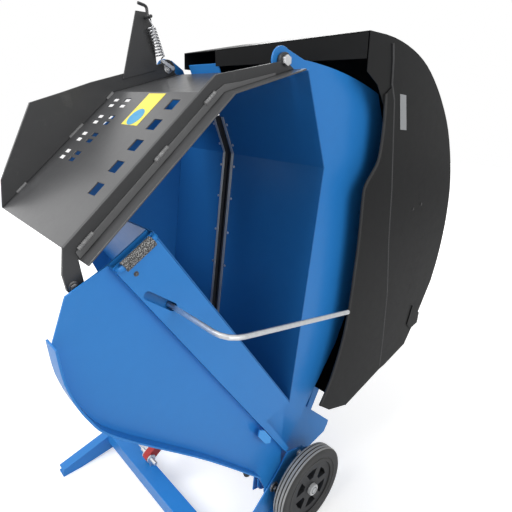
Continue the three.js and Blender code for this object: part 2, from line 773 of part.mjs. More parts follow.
const springGap = () => springCoilSpan() / springCurls - springWire;

// Frame
const makeLegs = () => {
  const outline = places(legShares);
  [['near', 1], ['far', -1]].forEach(([end, sign]) => {
    const span = (from, to) => (sign > 0 ? [from, to] : [-to, -from]);
    const upperEdge = outline.slice(-4);
    const lowerEdge = outline.slice(4, 9);
    const wideSpan = span(legX, legX + platePiece + legWideFlange);
    const [padFront, padBack] = footPadShares.map((share) => share * loadHeight);
    const body = join(
      plate(outline, ...span(legX, legX + platePiece)),
      plate(sheetOutline(upperEdge.slice(0, -1), 0, -platePiece), ...wideSpan),
      plate(sheetOutline(lowerEdge, 0, -platePiece), ...span(legX, legX + platePiece + legFlange)),
      block(...wideSpan, padFront, padBack, 0, footPadHeight),
    );
    const boreSpan = span(legX - overrun, legX + platePiece + legFlange + overrun);
    add(`leg_${end}`, cut(
      body, rod(axle, around(axleRadius + seatGap), ...boreSpan),
      rod(pivot, around(pivotRadius + seatGap), ...boreSpan),
    ), bluePaint());
  });
};

const makeFrame = () => {
  makeLegs();
  const [railFront, railBack] = railShares.map((share) => share * loadHeight);
  const railTop = railTopShare * loadHeight;
  const rail = [
    [railFront, railTop - railHeight], [railFront, railTop],
    [railBack, railTop], [railBack, railTop - railHeight],
  ];
  add('cross_rail', plate(sheetOutline(rail, 0, -platePiece), -legX, legX), bluePaint());
  [['near', 1], ['far', -1]].forEach(([end, sign]) => {
    const far = sign > 0 ? sidePlateX : -sidePlateX - platePiece;
    const shaftHole = sign > 0 ? [] : [circle(motor, around(motorShaftRadius + runGap))];
    add(`side_plate_${end}`, plate(
      places(sidePlateShares[end]), far, far + platePiece, circle(pivot, around(pivotRadius + seatGap)),
      circle(axle, around(axleRadius + seatGap)), ...shaftHole,
    ), bluePaint());
  });
  const inside = offset([...chute, chute[0]], sheet).slice(1, -1);
  const hollow = [
    [chute[0][0] + sheet, chute[0][1] - overrun],
    [chute[1][0] - sheet, chute[1][1] - overrun], ...inside.slice(1),
  ];
  add('cross_box', join(
    cut(plate(chute, -sidePlateX, sidePlateX), plate(hollow, -sidePlateX + sheet, sidePlateX - sheet)),
    plate(sheetOutline(places(spoutShares).slice(0, -1), 0, -sheet), spoutFarX, sidePlateX),
    plate(places(spoutShares), spoutFarX, spoutFarX + sheet),
  ), bluePaint());
  add('pivot_shaft', rod(pivot, pivotRadius, -pivotEnd, pivotEnd), steel());
  add('axle', rod(axle, axleRadius, -axleEnd(), axleEnd()), steel());
};

const axleEnd = () => wheelInnerX + wheelWidth + seatGap;

// The hood's sloping floor, which the beam carries
const floorAt = (y) => {
  const [floorBack, floorFront] = hoodLine.slice(-2);
  const rise = (floorBack[1] - floorFront[1]) / (floorBack[0] - floorFront[0]);
  return floorFront[1] + (y - floorFront[0]) * rise;
};
const beamBack = () => place(sidePlateShares.far[3])[0];

const makeRearStand = () => {
  const back = beamBack();
  const front = back - beamDepth;
  const under = (y) => floorAt(y) - seatGap;
  const beam = [
    [front, under(front) - beamHeight], [back, under(back) - beamHeight],
    [back, under(back)], [front, under(front)],
  ];
  const [footFront, footBack] = rearFootShares.map((share) => share * loadHeight);
  const half = rearFootWidth / 2;
  const legs = rearLegXs.map((x) => {
    const shape = [
      [footFront, 0], [footBack, 0], [footBack, rearFootHeight], [back, under(back) - beamHeight],
      [front, under(front) - beamHeight],
    ];
    return plate(shape, x - half, x + half);
  });
  add('rear_stand', join(plate(beam, -sidePlateX, Math.max(...rearLegXs) + half), ...legs), bluePaint());
};

const makeLatch = () => {
  const latchPivot = place(latchPivotShare);
  const tip = place(latchTipShare);
  const half = latchWidth / 2;
  const outline = sheetOutline([latchPivot, tip], -half, half);
  const latchNear = latchX + latchThickness;
  const bolt = rod(latchPivot, latchBoltRadius, latchX - latchWidth, latchNear + latchWidth, smallSides);
  const railTop = railTopShare * loadHeight;
  const ear = (x) => join(
    block(x, x + platePiece, latchPivot[0] - half / 2, latchPivot[0] + half / 2, railTop, latchPivot[1]),
    rod(latchPivot, half - runGap, x, x + platePiece, smallSides),
  );
  const body = join(plate(outline, latchX, latchNear), rod(latchPivot, half, latchX, latchNear));
  add('transport_latch', cut(body, rod(
    latchPivot, around(latchBoltRadius + runGap, smallSides),
    latchX - overrun, latchNear + overrun, smallSides,
  )), redPaint());
  add('latch_bolt', join(
    bolt, ear(latchX - platePiece - latchEarGap), ear(latchNear + latchEarGap),
  ), zinc());
};

// Wheels
const makeWheel = (end, sign) => {
  const span = (from, to) => (sign > 0 ? [from, to] : [-to, -from]);
  const outer = wheelInnerX + wheelWidth;
  const tyre = tube(axle, wheelRadius, around(wheelFelloe), ...span(wheelInnerX, outer));
  add(`tyre_${end}`, tyre, darkRubber());
  const felloe = around(wheelFelloe) - seatGap;
  const windows = Array.from({ length: spokeCount }, (_, index) => {
    const from = (index / spokeCount) * 2 * Math.PI;
    const to = ((index + 1) / spokeCount) * 2 * Math.PI;
    const lean = spokeWidth / 2;
    const point = (turn, radius, side) => {
      const trim = Math.asin((lean * side) / radius);
      return [axle[0] + radius * Math.cos(turn + trim), axle[1] + radius * Math.sin(turn + trim)];
    };
    const rimRadius = felloe - felloeWall;
    const middle = (from + to) / 2;
    return [
      point(from, hubRadius + lean, 1), point(from, rimRadius, 1),
      point(middle, rimRadius, 0), point(to, rimRadius, -1),
      point(to, hubRadius + lean, -1),
    ];
  });
  const disc = plate(circle(axle, felloe), ...span(wheelInnerX + rimInset, outer - rimInset),
    circle(axle, around(axleRadius + runGap)), ...windows);
  add(`rim_${end}`, disc, darkPlastic());
  const capFar = outer - rimInset + runGap;
  const cap = rod(axle, capRadius, ...span(capFar, outer + capLength));
  const bore = rod(axle, around(axleRadius + seatGap), ...span(capFar - overrun, axleEnd() + seatGap));
  add(`hub_cap_${end}`, cut(cap, bore), palePlastic());
};

// Blade, arbor, motor and belt
const makeBlade = () => {
  const root = bladeRadius - toothHeight;
  const outline = Array.from({ length: toothCount }, (_, tooth) => {
    const from = (tooth / toothCount) * 2 * Math.PI;
    const tip = ((tooth + toothLeanShare) / toothCount) * 2 * Math.PI;
    const at = (turn, radius) => [arbor[0] + radius * Math.cos(turn), arbor[1] + radius * Math.sin(turn)];
    return [at(from, root), at(tip, bladeRadius)];
  }).flat();
  const half = bladeThickness / 2;
  const threadBore = circle(arbor, around(threadRadius + seatGap));
  add('saw_blade', plate(outline, bladeX - half, bladeX + half, threadBore), steel());
  const collarNear = bladeX - half - seatGap;
  const nutFar = bladeX + half + seatGap + flangeThickness + seatGap;
  add('arbor_shaft', join(
    rod(arbor, arborRadius, pulleyFarX - seatGap, collarNear - flangeThickness / 2),
    rod(arbor, flangeRadius, collarNear - flangeThickness, collarNear),
    rod(arbor, threadRadius, collarNear - flangeThickness / 2, nutFar + nutLength + overrun),
  ), steel());
  const bore = rod(arbor, around(threadRadius + seatGap), bladeX, nutFar + nutLength + overrun);
  add('flange_nut', cut(join(
    rod(arbor, flangeRadius, bladeX + half + seatGap, nutFar),
    rod(arbor, nutRadius, nutFar - runGap, nutFar + nutLength, hexSides),
  ), bore), zinc());
  const bearingOuter = housingRadius - housingWall;
  add(
    'bearing_housing',
    tube(arbor, housingRadius, around(bearingOuter), housingFarX, housingNearX), bluePaint(),
  );
  [['far', housingFarX + runGap], ['near', housingNearX - bearingWidth - runGap]].forEach(([end, x]) => {
    add(`bearing_${end}`, tube(
      arbor, bearingOuter - seatGap, around(arborRadius + seatGap), x, x + bearingWidth,
    ), steel());
  });
  const [topBack, topFront] = places(pedestalTopShares);
  const baseBack = [beamBack(), floorAt(beamBack())];
  const baseFront = [beamBack() - beamDepth, floorAt(beamBack() - beamDepth)];
  const wallShare = pedestalWallShare;
  const hollow = [
    between(baseFront, baseBack, wallShare), between(baseBack, baseFront, wallShare),
    between(topBack, topFront, wallShare), between(topFront, topBack, wallShare),
  ];
  add('pedestal', cut(
    plate([baseFront, baseBack, topBack, topFront], pedestalFarX, pedestalNearX),
    rod(arbor, around(housingRadius) + seatGap, pedestalFarX - overrun, pedestalNearX + overrun),
    plate(hollow, pedestalFarX + platePiece, pedestalNearX + overrun),
  ), bluePaint());
};

const makeDrive = () => {
  const pulleyNear = pulleyFarX + pulleyWidth;
  const pulley = (centre, radius, bore) => tube(centre, radius, around(bore + seatGap), pulleyFarX, pulleyNear);
  add('arbor_pulley', pulley(arbor, arborPulleyRadius, arborRadius), steel());
  add('motor_pulley', pulley(motor, motorPulleyRadius, motorShaftRadius), steel());
  const loop = (extra) => {
    const span = Math.hypot(arbor[0] - motor[0], arbor[1] - motor[1]);
    const heading = Math.atan2(arbor[1] - motor[1], arbor[0] - motor[0]);
    const lean = Math.acos((arborPulleyRadius - motorPulleyRadius) / span);
    const arcAbout = (centre, radius, from, to) => Array.from({ length: smallSides + 1 }, (_, step) => {
      const turn = from + ((to - from) * step) / smallSides;
      const reach = around(radius + extra, smallSides * 2);
      return [centre[0] + reach * Math.cos(turn), centre[1] + reach * Math.sin(turn)];
    });
    return [
      ...arcAbout(arbor, arborPulleyRadius, heading - lean, heading + lean),
      ...arcAbout(motor, motorPulleyRadius, heading + lean, heading + 2 * Math.PI - lean),
    ];
  };
  const beltFar = pulleyFarX + (pulleyWidth - beltWidth) / 2;
  add(
    'drive_belt', plate(loop(runGap + beltThickness), beltFar, beltFar + beltWidth, loop(runGap)),
    darkRubber(),
  );
  const guardInner = runGap + beltThickness + guardGap;
  const guardNear = housingFarX - guardPlate;
  const guard = plate(loop(guardInner + guardWall), guardFarX, guardNear);
  add(
    'belt_guard', cut(guard, plate(loop(guardInner), guardFarX + guardWall, guardNear + overrun)),
    blackPaint(),
  );
  add('guard_back', plate(
    loop(guardInner + guardWall), guardNear, housingFarX, circle(arbor, around(arborRadius + runGap)),
    circle(motor, around(motorShaftRadius + runGap)),
  ), blackPaint());

  const boxBack = chute[1][0];
  const foot = motorFootHeight / 2;
  const body = join(
    rod(motor, motorRadius, motorFarX, motorNearX),
    block(
      motorFarX + foot, motorNearX - foot, boxBack + seatGap,
      motor[0] - motorRadius + motorWall / 2, motor[1] - foot,
      motor[1] + foot,
    ),
  );
  const hollow = rod(motor, motorRadius - motorWall, motorFarX + motorWall, motorNearX + overrun);
  const shaftBore = rod(
    motor, around(motorShaftRadius + runGap), motorFarX - overrun, motorFarX + motorWall + overrun,
  );
  add('motor_case', cut(body, hollow, shaftBore), steel());
  add('motor_shaft', rod(motor, motorShaftRadius, pulleyFarX - seatGap, motorShaftEnd), steel());
};

// Hood
const makeHood = () => {
  const wrap = plate(sheetOutline(hoodLine, 0, -hoodSheet), hoodFarX, hoodNearX);
  const [planFront, planBack] = headerPlanShares.map((share) => share * loadHeight);
  const run = new THREE.Vector3(hoodNearX - headerFarX, planBack - planFront, 0);
  const top = hoodLine[1][1] + overrun;
  const wedgeShape = new THREE.Shape([
    new THREE.Vector2(headerFarX, planFront), new THREE.Vector2(headerFarX, planFront - overrun),
    new THREE.Vector2(hoodNearX + overrun, planFront - overrun),
    new THREE.Vector2(hoodNearX + overrun, planBack),
    new THREE.Vector2(hoodNearX, planBack),
  ]);
  const wedge = new THREE.ExtrudeGeometry(wedgeShape, { depth: top, bevelEnabled: false });
  add('hood_wrap', cut(wrap, wedge), blackPaint());

  const [lowFar, lowNear] = headerLowShares.map((share) => share * loadHeight);
  const under = hoodSheet + seatGap * 2;
  const length = run.length() - hoodSheet;
  const headerShape = new THREE.Shape([
    new THREE.Vector2(0, lowFar), new THREE.Vector2(length, lowNear),
    new THREE.Vector2(length, hoodLine[1][1] - under), new THREE.Vector2(0, hoodLine[0][1] - under),
  ]);
  const along = run.clone().normalize();
  const up = new THREE.Vector3(0, 0, 1);
  const outward = new THREE.Vector3().crossVectors(along, up);
  const header = new THREE.ExtrudeGeometry(headerShape, { depth: hoodSheet, bevelEnabled: false })
    .applyMatrix4(new THREE.Matrix4().makeBasis(along, up, outward))
    .translate(headerFarX - outward.x * hoodSheet, planFront - outward.y * hoodSheet, 0);
  add('hood_header', cut(header, block(
    hoodNearX - seatGap, hoodNearX + loadHeight, planFront - loadHeight, planBack + loadHeight, 0, top,
  ), plate(sheetOutline(hoodLine, overrun, -hoodSheet - seatGap), hoodFarX, hoodNearX)), blackPaint());

  const back = hoodLine.slice(1);
  add(
    'hood_near_plate',
    plate([...back, ...places(nearFrontShares)], hoodNearX, hoodNearX + hoodSheet), blackPaint(),
  );
  const panelX = hoodNearX + hoodSheet + seatGap;
  const border = smoothLine(places(panelBorderShares), borderSteps);
  add('hood_front_panel', plate(
    [...border, ...places(panelBackShares)], panelX, panelX + frontPanelSheet,
  ), blackPaint());
  const [arcFrom, arcTo] = farArcTurnShares.map((share) => share * rockTurn);
  const arc = pivotArc(farArcRadiusShare * loadHeight, arcFrom, arcTo);
  add('hood_far_plate', plate(
    [...hoodLine, ...places(farFrontShares), ...arc.reverse()],
    hoodFarX - hoodSheet, hoodFarX, circle(arbor, around(arborRadius + runGap)),
  ), blackPaint());
};

// Switch box with its buttons, which travel along X
const makeSwitch = () => {
  const [[front, back], [low, high]] = boxShares.map((pair) => pair.map((share) => share * loadHeight));
  const nearX = hoodFarX - hoodSheet;
  const farX = nearX - boxDepth;
  const hollow = block(
    farX + boxWall, nearX + overrun, front + boxWall, back - boxWall, low + boxWall, high - boxWall,
  );
  const stemBore = around(buttonStem + runGap, smallSides);
  const holes = Object.values(buttonShares).map((share) => rod(
    place(share), stemBore, farX - overrun, farX + boxWall + overrun, smallSides,
  ));
  add('switch_box', cut(block(farX, nearX, front, back, low, high), hollow, ...holes), darkPlastic());
  Object.entries(buttonShares).forEach(([name, share]) => {
    const centre = place(share);
    const headNear = farX - buttonTravel - seatGap;
    add(`${name}_button`, join(
      rod(centre, buttonRadius, headNear - buttonHead, headNear, smallSides),
      rod(centre, buttonStem, headNear - runGap, farX + boxWall + overrun, smallSides),
    ), name === 'start' ? greenPlastic() : redPaint());
  });
  const middle = (front + back) / 2;
  const across = (farX + nearX) / 2;
  const at = (z) => new THREE.Vector3(across, middle, z);
  add('power_inlet', cut(
    bar(at(low - inletLength), at(low - seatGap), inletRadius, roundSides),
    bar(at(low - inletLength - overrun), at(low - inletFloor), inletBore, roundSides),
  ), darkPlastic());
};

makeTrough();
makeCradlePlates();
makeEndStrip();
makeHandle();
makeStop();
makeHingePins();
makeFlap();
add('flap_spring', makeSpring(), zinc());
makeFrame();
makeRearStand();
makeLatch();
makeWheel('near', 1);
makeWheel('far', -1);
makeBlade();
makeDrive();
makeHood();
makeSwitch();

// The origin goes to the middle of the whole box, on the ground
const group = new THREE.Group();
group.name = 'firewood_saw';
const extent = new THREE.Box3().setFromObject(assembly);
const centre = extent.getCenter(new THREE.Vector3());
assembly.position.set(-centre.x, -centre.y, -extent.min.z);
group.add(assembly);
group.updateMatrixWorld(true);
console.log(`moved by ${assembly.position.toArray().map((part) => part.toFixed(2)).join(' ')}`);
console.log(`box ${extent.getSize(new THREE.Vector3()).toArray().map((part) => part.toFixed(1)).join(' ')}`);
console.log(`least gap between the spring's curls ${springGap().toFixed(2)}`);

export default group;
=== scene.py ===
# %% [markdown]
# # A rocking firewood saw
# This machine cuts firewood to length. A blue V shaped trough rocks back about a shaft near
# the ground and carries what lies in it into a blade that turns under a black hood, while a
# sheet flap holds it down. The solids of the machine come from the imported frame, and this
# lesson gives them their edges, paint, metal, rubber and small parts.
#
# The first cell loads that frame.

# %% Load the frame
import json
import math
import random

import bmesh
import bpy
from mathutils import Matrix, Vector

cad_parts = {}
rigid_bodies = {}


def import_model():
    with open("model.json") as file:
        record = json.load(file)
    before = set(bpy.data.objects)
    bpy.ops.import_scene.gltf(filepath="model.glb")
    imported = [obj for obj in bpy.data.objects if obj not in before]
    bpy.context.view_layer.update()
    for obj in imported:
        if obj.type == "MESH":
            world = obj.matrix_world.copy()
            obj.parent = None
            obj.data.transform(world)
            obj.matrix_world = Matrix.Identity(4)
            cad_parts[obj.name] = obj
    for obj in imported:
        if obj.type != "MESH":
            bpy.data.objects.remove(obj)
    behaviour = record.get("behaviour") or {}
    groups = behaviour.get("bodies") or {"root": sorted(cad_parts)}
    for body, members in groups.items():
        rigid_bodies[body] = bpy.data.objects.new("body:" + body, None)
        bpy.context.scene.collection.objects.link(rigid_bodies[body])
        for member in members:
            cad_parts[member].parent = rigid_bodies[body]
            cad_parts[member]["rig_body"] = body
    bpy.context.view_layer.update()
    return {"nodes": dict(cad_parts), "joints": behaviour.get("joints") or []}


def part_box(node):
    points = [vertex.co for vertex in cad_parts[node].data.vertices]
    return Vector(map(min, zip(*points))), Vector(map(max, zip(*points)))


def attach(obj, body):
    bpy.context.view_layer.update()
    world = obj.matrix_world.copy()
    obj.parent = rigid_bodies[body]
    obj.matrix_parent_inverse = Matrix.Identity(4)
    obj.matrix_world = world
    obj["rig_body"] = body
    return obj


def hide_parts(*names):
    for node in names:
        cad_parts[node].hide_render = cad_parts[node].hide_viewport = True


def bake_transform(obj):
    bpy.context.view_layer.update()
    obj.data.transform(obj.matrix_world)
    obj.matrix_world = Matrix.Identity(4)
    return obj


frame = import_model()
MM = 0.001
random.seed(7)

# %% [markdown]
# ## Places
# Every place comes from the joints of the frame, so the pieces added here stay on what
# carries them. The side of the machine is drawn in its own plane, in millimetres, with the
# shaft that the cradle rocks on as zero.

# %% Joints and places
JOINTS = {joint["name"]: joint for joint in frame["joints"]}
PIVOT = Vector(JOINTS["cradle_rock"]["pos_m"])
ARBOR = Vector(JOINTS["blade_spin"]["pos_m"])
AXLE = Vector(JOINTS["wheel_near_spin"]["pos_m"])
ACROSS_ZERO = PIVOT.x
AXIS = Vector((1, 0, 0))


def at(across, back, up):
    """A place in millimetres: across the machine, back from the pivot, up from the ground."""
    return Vector((ACROSS_ZERO + across * MM, PIVOT.y + back * MM, up * MM))


def near_face(node):
    """How far across the machine the near face of a node lies, in millimetres."""
    return (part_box(node)[1].x - ACROSS_ZERO) / MM


print("pivot", [round(v, 4) for v in PIVOT], "arbor", [round(v, 4) for v in ARBOR])

# %% [markdown]
# ## Camera
# The view looks down a little from the near front corner. A camera can be matched to a
# picture by lining up edges that are known to be level or upright. Here the lens and the
# height were found in that way, and the lens is written as the number of pixels that it
# spans, which Blender turns into millimetres through the sensor's width.

# %% Camera
EYE = (926, -650, 1196)
LOOK = Vector((-0.6854, 0.634, -0.3582))
FOCAL_PIXELS = 430
PICTURE_PIXELS = 512
SENSOR = 36
FAR_CLIP = 50

camera_data = bpy.data.cameras.new("camera")
camera_data.sensor_width = SENSOR
camera_data.lens = FOCAL_PIXELS / PICTURE_PIXELS * SENSOR
camera_data.clip_end = FAR_CLIP
camera = bpy.data.objects.new("camera", camera_data)
bpy.context.scene.collection.objects.link(camera)
camera.location = at(*EYE)
camera.rotation_euler = LOOK.to_track_quat("-Z", "Y").to_euler()
bpy.context.scene.camera = camera
print("camera lens", round(camera_data.lens, 1), "mm at", [round(v, 3) for v in camera.location])

# %% [markdown]
# ## Shader maths
# A finish is easier to read when it is written as sums and products. The small class below
# wraps a socket, and each operator adds the Math node that it stands for. Noise plus a
# number, times a mask, then reads as it would on paper.


# %% Sums and products of sockets
class Wire:
    """A number that varies over the surface."""

    def __init__(self, tree, socket):
        self.tree = tree
        self.socket = socket

    def _math(self, operation, first, second, clamp=False):
        node = self.tree.nodes.new("ShaderNodeMath")
        node.operation = operation
        node.use_clamp = clamp
        for slot, value in zip(node.inputs, (first, second)):
            if isinstance(value, Wire):
                self.tree.links.new(value.socket, slot)
            else:
                slot.default_value = value
        return Wire(self.tree, node.outputs[0])

    def __add__(self, other):
        return self._math("ADD", self, other)

    def __sub__(self, other):
        return self._math("SUBTRACT", self, other)

    def __rsub__(self, other):
        return self._math("SUBTRACT", other, self)

    def __mul__(self, other):
        return self._math("MULTIPLY", self, other)

    def __gt__(self, other):
        return self._math("GREATER_THAN", self, other)

    def power(self, other):
        return self._math("POWER", self, other)

    def clamped(self):
        return self._math("ADD", self, 0, clamp=True)

    __radd__ = __add__
    __rmul__ = __mul__


print("a Wire has", [name for name in dir(Wire) if not name.startswith("_")])

# %% [markdown]
# ## One material as an object
# A material in Blender is a tree of nodes. This class makes the tree of one finish, gives
# short names to the nodes that the finishes below need, and links whatever they return.
# Patterns read Object coordinates, so they stay on a piece when the piece moves.


# %% Materials
class Finish:
    """One material: its shader, and the nodes that feed it."""

    def __init__(self, name):
        self.material = bpy.data.materials.new(name)
        self.material.use_nodes = True
        self.tree = self.material.node_tree
        self.shader = self.tree.nodes["Principled BSDF"]
        self.coordinates = self.tree.nodes.new("ShaderNodeTexCoord").outputs["Object"]

    def node(self, kind, settings, inputs, output=0):
        """Any node, from its type, its settings and the values or links of its sockets."""
        made = self.tree.nodes.new(kind)
        for key, value in settings.items():
            setattr(made, key, value)
        for key, value in inputs.items():
            if isinstance(value, Wire):
                self.tree.links.new(value.socket, made.inputs[key])
            elif isinstance(value, bpy.types.NodeSocket):
                self.tree.links.new(value, made.inputs[key])
            else:
                made.inputs[key].default_value = value
        return Wire(self.tree, made.outputs[output])

    def parts(self, vector):
        """The three numbers of a vector."""
        made = self.tree.nodes.new("ShaderNodeSeparateXYZ")
        self.tree.links.new(vector, made.inputs[0])
        return [Wire(self.tree, output) for output in made.outputs]

    def radius(self, centre):
        """The distance to an axis that runs across the machine through a centre."""
        place = {"Vector": self.coordinates, "Location": (-centre.x, -centre.y, -centre.z)}
        local = self.node("ShaderNodeMapping", {}, place)
        _, back, up = self.parts(local.socket)
        return (back * back + up * up).power(0.5)

    def noise(self, scale, detail=3, rough=0.5):
        return self.node("ShaderNodeTexNoise", {}, {
            "Vector": self.coordinates, "Scale": scale, "Detail": detail, "Roughness": rough,
        })

    def cells(self, scale):
        """Flat cells, each with a tone of its own."""
        return self.node("ShaderNodeTexVoronoi", {}, {"Vector": self.coordinates, "Scale": scale}, "Color")

    def ramp(self, factor, *stops):
        """Turns one range of a number into another, by stops of place and value."""
        made = self.tree.nodes.new("ShaderNodeValToRGB")
        for element, (position, value) in zip(made.color_ramp.elements, stops):
            element.position = position
            element.color = (value, value, value, 1)
        self.tree.links.new(factor.socket, made.inputs["Fac"])
        return Wire(self.tree, made.outputs["Color"])

    def mix(self, factor, first, second):
        """A colour between two others."""
        made = self.tree.nodes.new("ShaderNodeMix")
        made.data_type = "RGBA"
        for slot, value in zip((made.inputs[6], made.inputs[7]), (first, second)):
            if isinstance(value, Wire):
                self.tree.links.new(value.socket, slot)
            else:
                slot.default_value = (*value, 1)
        self.tree.links.new(factor.socket, made.inputs[0])
        return Wire(self.tree, made.outputs[2])

    def bump(self, height, strength, distance):
        normal = self.node("ShaderNodeBump", {}, {
            "Height": height, "Strength": strength, "Distance": distance,
        }, "Normal")
        self.tree.links.new(normal.socket, self.shader.inputs["Normal"])

    def set(self, **values):
        for key, value in values.items():
            slot = self.shader.inputs[key.replace("_", " ")]
            if isinstance(value, Wire):
                self.tree.links.new(value.socket, slot)
            elif isinstance(value, tuple):
                slot.default_value = (*value, 1)
            else:
                slot.default_value = value
        return self.material


print("a finish can make", [name for name in dir(Finish) if not name.startswith("_")])

# %% [markdown]
# ## Paint
# The blue and black parts are powder coated. Powder coat has a very fine orange peel, a slow
# change of tone over large sheets, and a little dust that makes it rougher in places. One
# function makes them all, and each call says how rough, how glossy and how dusty a coat is.


# %% Powder coat
DUST = (0.52, 0.52, 0.5)
PEEL_DEPTH = 0.0006


def powder_coat(name, deep, light, roughness, coat, peel, dust, shine=0.4):
    finish = Finish(name)
    tone = finish.noise(3.2, 4, 0.6)
    fine = finish.noise(38, 5, 0.7)
    scuffs = finish.ramp(finish.noise(9, 8, 0.78), (0.58, 0), (0.74, 1))
    color = finish.mix(tone * 0.6 + fine * 0.4, deep, light)
    dusted = finish.mix(scuffs * dust, color, DUST)
    finish.bump(finish.noise(420, 2) * 0.7 + finish.noise(60, 2) * 0.3, peel, PEEL_DEPTH)
    return finish.set(
        Base_Color=dusted, Roughness=(fine * 0.16 + scuffs * 0.14 + (roughness - 0.08)).clamped(),
        Coat_Weight=coat, Coat_Roughness=0.22, Specular_IOR_Level=shine,
    )


print("powder coat ready, peel", PEEL_DEPTH / MM, "mm deep")

# %% [markdown]
# ## Blue and red
# The plates share one blue. The trough lies in the shade of the flap, so its blue is a little
# deeper, and a small tab on the cradle is brighter. The transport latch is red, so that it is
# seen when it is left closed.

# %% Blue and red paints
blue_paint = powder_coat(
    "blue_powder_coat", (0.016, 0.185, 0.54), (0.028, 0.24, 0.66),
    roughness=0.38, coat=0.18, peel=0.16, dust=0.02, shine=0.32,
)
shaded_paint = powder_coat(
    "trough_blue_coat", (0.011, 0.12, 0.37), (0.019, 0.16, 0.46),
    roughness=0.42, coat=0.12, peel=0.16, dust=0.02, shine=0.26,
)
tab_paint = powder_coat(
    "tab_bright_coat", (0.03, 0.3, 0.78), (0.05, 0.36, 0.86), roughness=0.34, coat=0.3, peel=0.16, dust=0.02,
)
red_paint = powder_coat(
    "red_latch_coat", (0.36, 0.012, 0.014), (0.5, 0.03, 0.03), roughness=0.4, coat=0.2, peel=0.16, dust=0.08,
)
print("paints", [paint.name for paint in (blue_paint, shaded_paint, tab_paint, red_paint)])

# %% [markdown]
# ## Black and grey
# The hood is nearly black and dull, and the flap is a dark grey that catches more light. The
# ribs are painted darker than the flap, a painted shade, and the bar at the near rib's foot
# lighter, a painted highlight. The ribs' paint also gives the hood's black seam a painted
# highlight. Weld beads are painted a pale grey.

# %% Black and grey paints
hood_paint = powder_coat(
    "hood_black_coat", (0.0045, 0.0048, 0.0052), (0.01, 0.0104, 0.011),
    roughness=0.42, coat=0.03, peel=0.14, dust=0.012, shine=0.16,
)
flap_paint = powder_coat(
    "flap_grey_coat", (0.036, 0.037, 0.039), (0.058, 0.059, 0.062),
    roughness=0.4, coat=0.4, peel=0.2, dust=0.05, shine=0.7,
)
# Lighter than the flap: a painted highlight for the lit side of the near rib.
bar_highlight_paint = powder_coat(
    "rib_bar_highlight_coat", (0.085, 0.086, 0.088), (0.13, 0.131, 0.133),
    roughness=0.42, coat=0.3, peel=0.25, dust=0.08, shine=0.6,
)
# Darker than the flap: painted shade on the ribs; on the hood's seam it is a painted highlight.
rib_shade_seam_highlight_paint = powder_coat(
    "rib_shade_seam_highlight_coat", (0.022, 0.0225, 0.024), (0.045, 0.046, 0.048),
    roughness=0.44, coat=0.2, peel=0.2, dust=0.06, shine=0.45,
)
# Weld beads: a pale grey, much lighter than the flap.
weld_metal = powder_coat(
    "painted_weld", (0.14, 0.142, 0.145), (0.34, 0.34, 0.34),
    roughness=0.36, coat=0.4, peel=0.3, dust=0.1, shine=0.6,
)
print("paints", [paint.name for paint in (hood_paint, flap_paint, bar_highlight_paint, rib_shade_seam_highlight_paint, weld_metal)])

# %% [markdown]
# ## Plated metal
# Zinc on bolts is bright and a little cloudy, and hot dip zinc on the stop rod shows crystals.
# Both are metal whose tone follows a cloud of noise, and flat cells stand for the crystals.


# %% Plated metal
def plated(name, dark, bright, roughness, crystal):
    finish = Finish(name)
    clouds = finish.noise(70, 5, 0.6)
    color = finish.mix(clouds * 0.7 + finish.noise(crystal, 2) * 0.3, dark, bright)
    finish.bump(clouds * 0.6 + finish.cells(crystal) * 0.4, 0.12, 0.0004)
    return finish.set(Base_Color=color, Roughness=(clouds * 0.22 + (roughness - 0.11)).clamped(), Metallic=1)


zinc = plated("bright_zinc", (0.6, 0.61, 0.62), (0.86, 0.86, 0.87), 0.45, 300)
galvanised = plated("hot_dip_zinc", (0.58, 0.6, 0.62), (0.84, 0.85, 0.86), 0.45, 140)
dark_bolt = plated("dark_bolt", (0.07, 0.07, 0.075), (0.2, 0.2, 0.2), 0.4, 300)
spring_wire = plated("spring_wire", (0.3, 0.31, 0.33), (0.6, 0.6, 0.61), 0.3, 260)
strip_metal = plated("slot_edge_metal", (0.5, 0.5, 0.47), (0.68, 0.68, 0.64), 0.55, 200)
print("plated", [metal.name for metal in (zinc, galvanised, dark_bolt, spring_wire, strip_metal)])

# %% [markdown]
# ## Turned metal
# Turned shafts and the ground blade show fine rings round their axis. A noise of one
# dimension, read along the distance to that axis, draws those rings without any picture.


# %% Turned metal
def turned(name, centre, dark, bright, roughness, rings):
    finish = Finish(name)
    ringed = finish.node("ShaderNodeTexNoise", {"noise_dimensions": "1D"}, {
        "W": finish.radius(centre) * rings, "Scale": 1.0, "Detail": 4.0, "Roughness": 0.7,
    })
    stains = finish.noise(14, 6, 0.65)
    color = finish.mix(ringed * 0.7 + stains * 0.3, dark, bright)
    finish.bump(ringed, 0.1, 0.0002)
    return finish.set(Base_Color=color, Roughness=(stains * 0.2 + (roughness - 0.1)).clamped(), Metallic=1)


blade_steel = turned("ground_blade_steel", ARBOR, (0.34, 0.35, 0.36), (0.62, 0.62, 0.63), 0.34, 900)
shaft_steel = turned("turned_shaft_steel", ARBOR, (0.3, 0.3, 0.31), (0.56, 0.56, 0.57), 0.36, 1400)
pivot_steel = turned("turned_pivot_steel", PIVOT, (0.3, 0.3, 0.31), (0.56, 0.56, 0.57), 0.38, 1400)
print("turned", [metal.name for metal in (blade_steel, shaft_steel, pivot_steel)])

# %% [markdown]
# ## Castings
# The motor's case and the pulleys are cast, which leaves a rough skin under their grey paint.


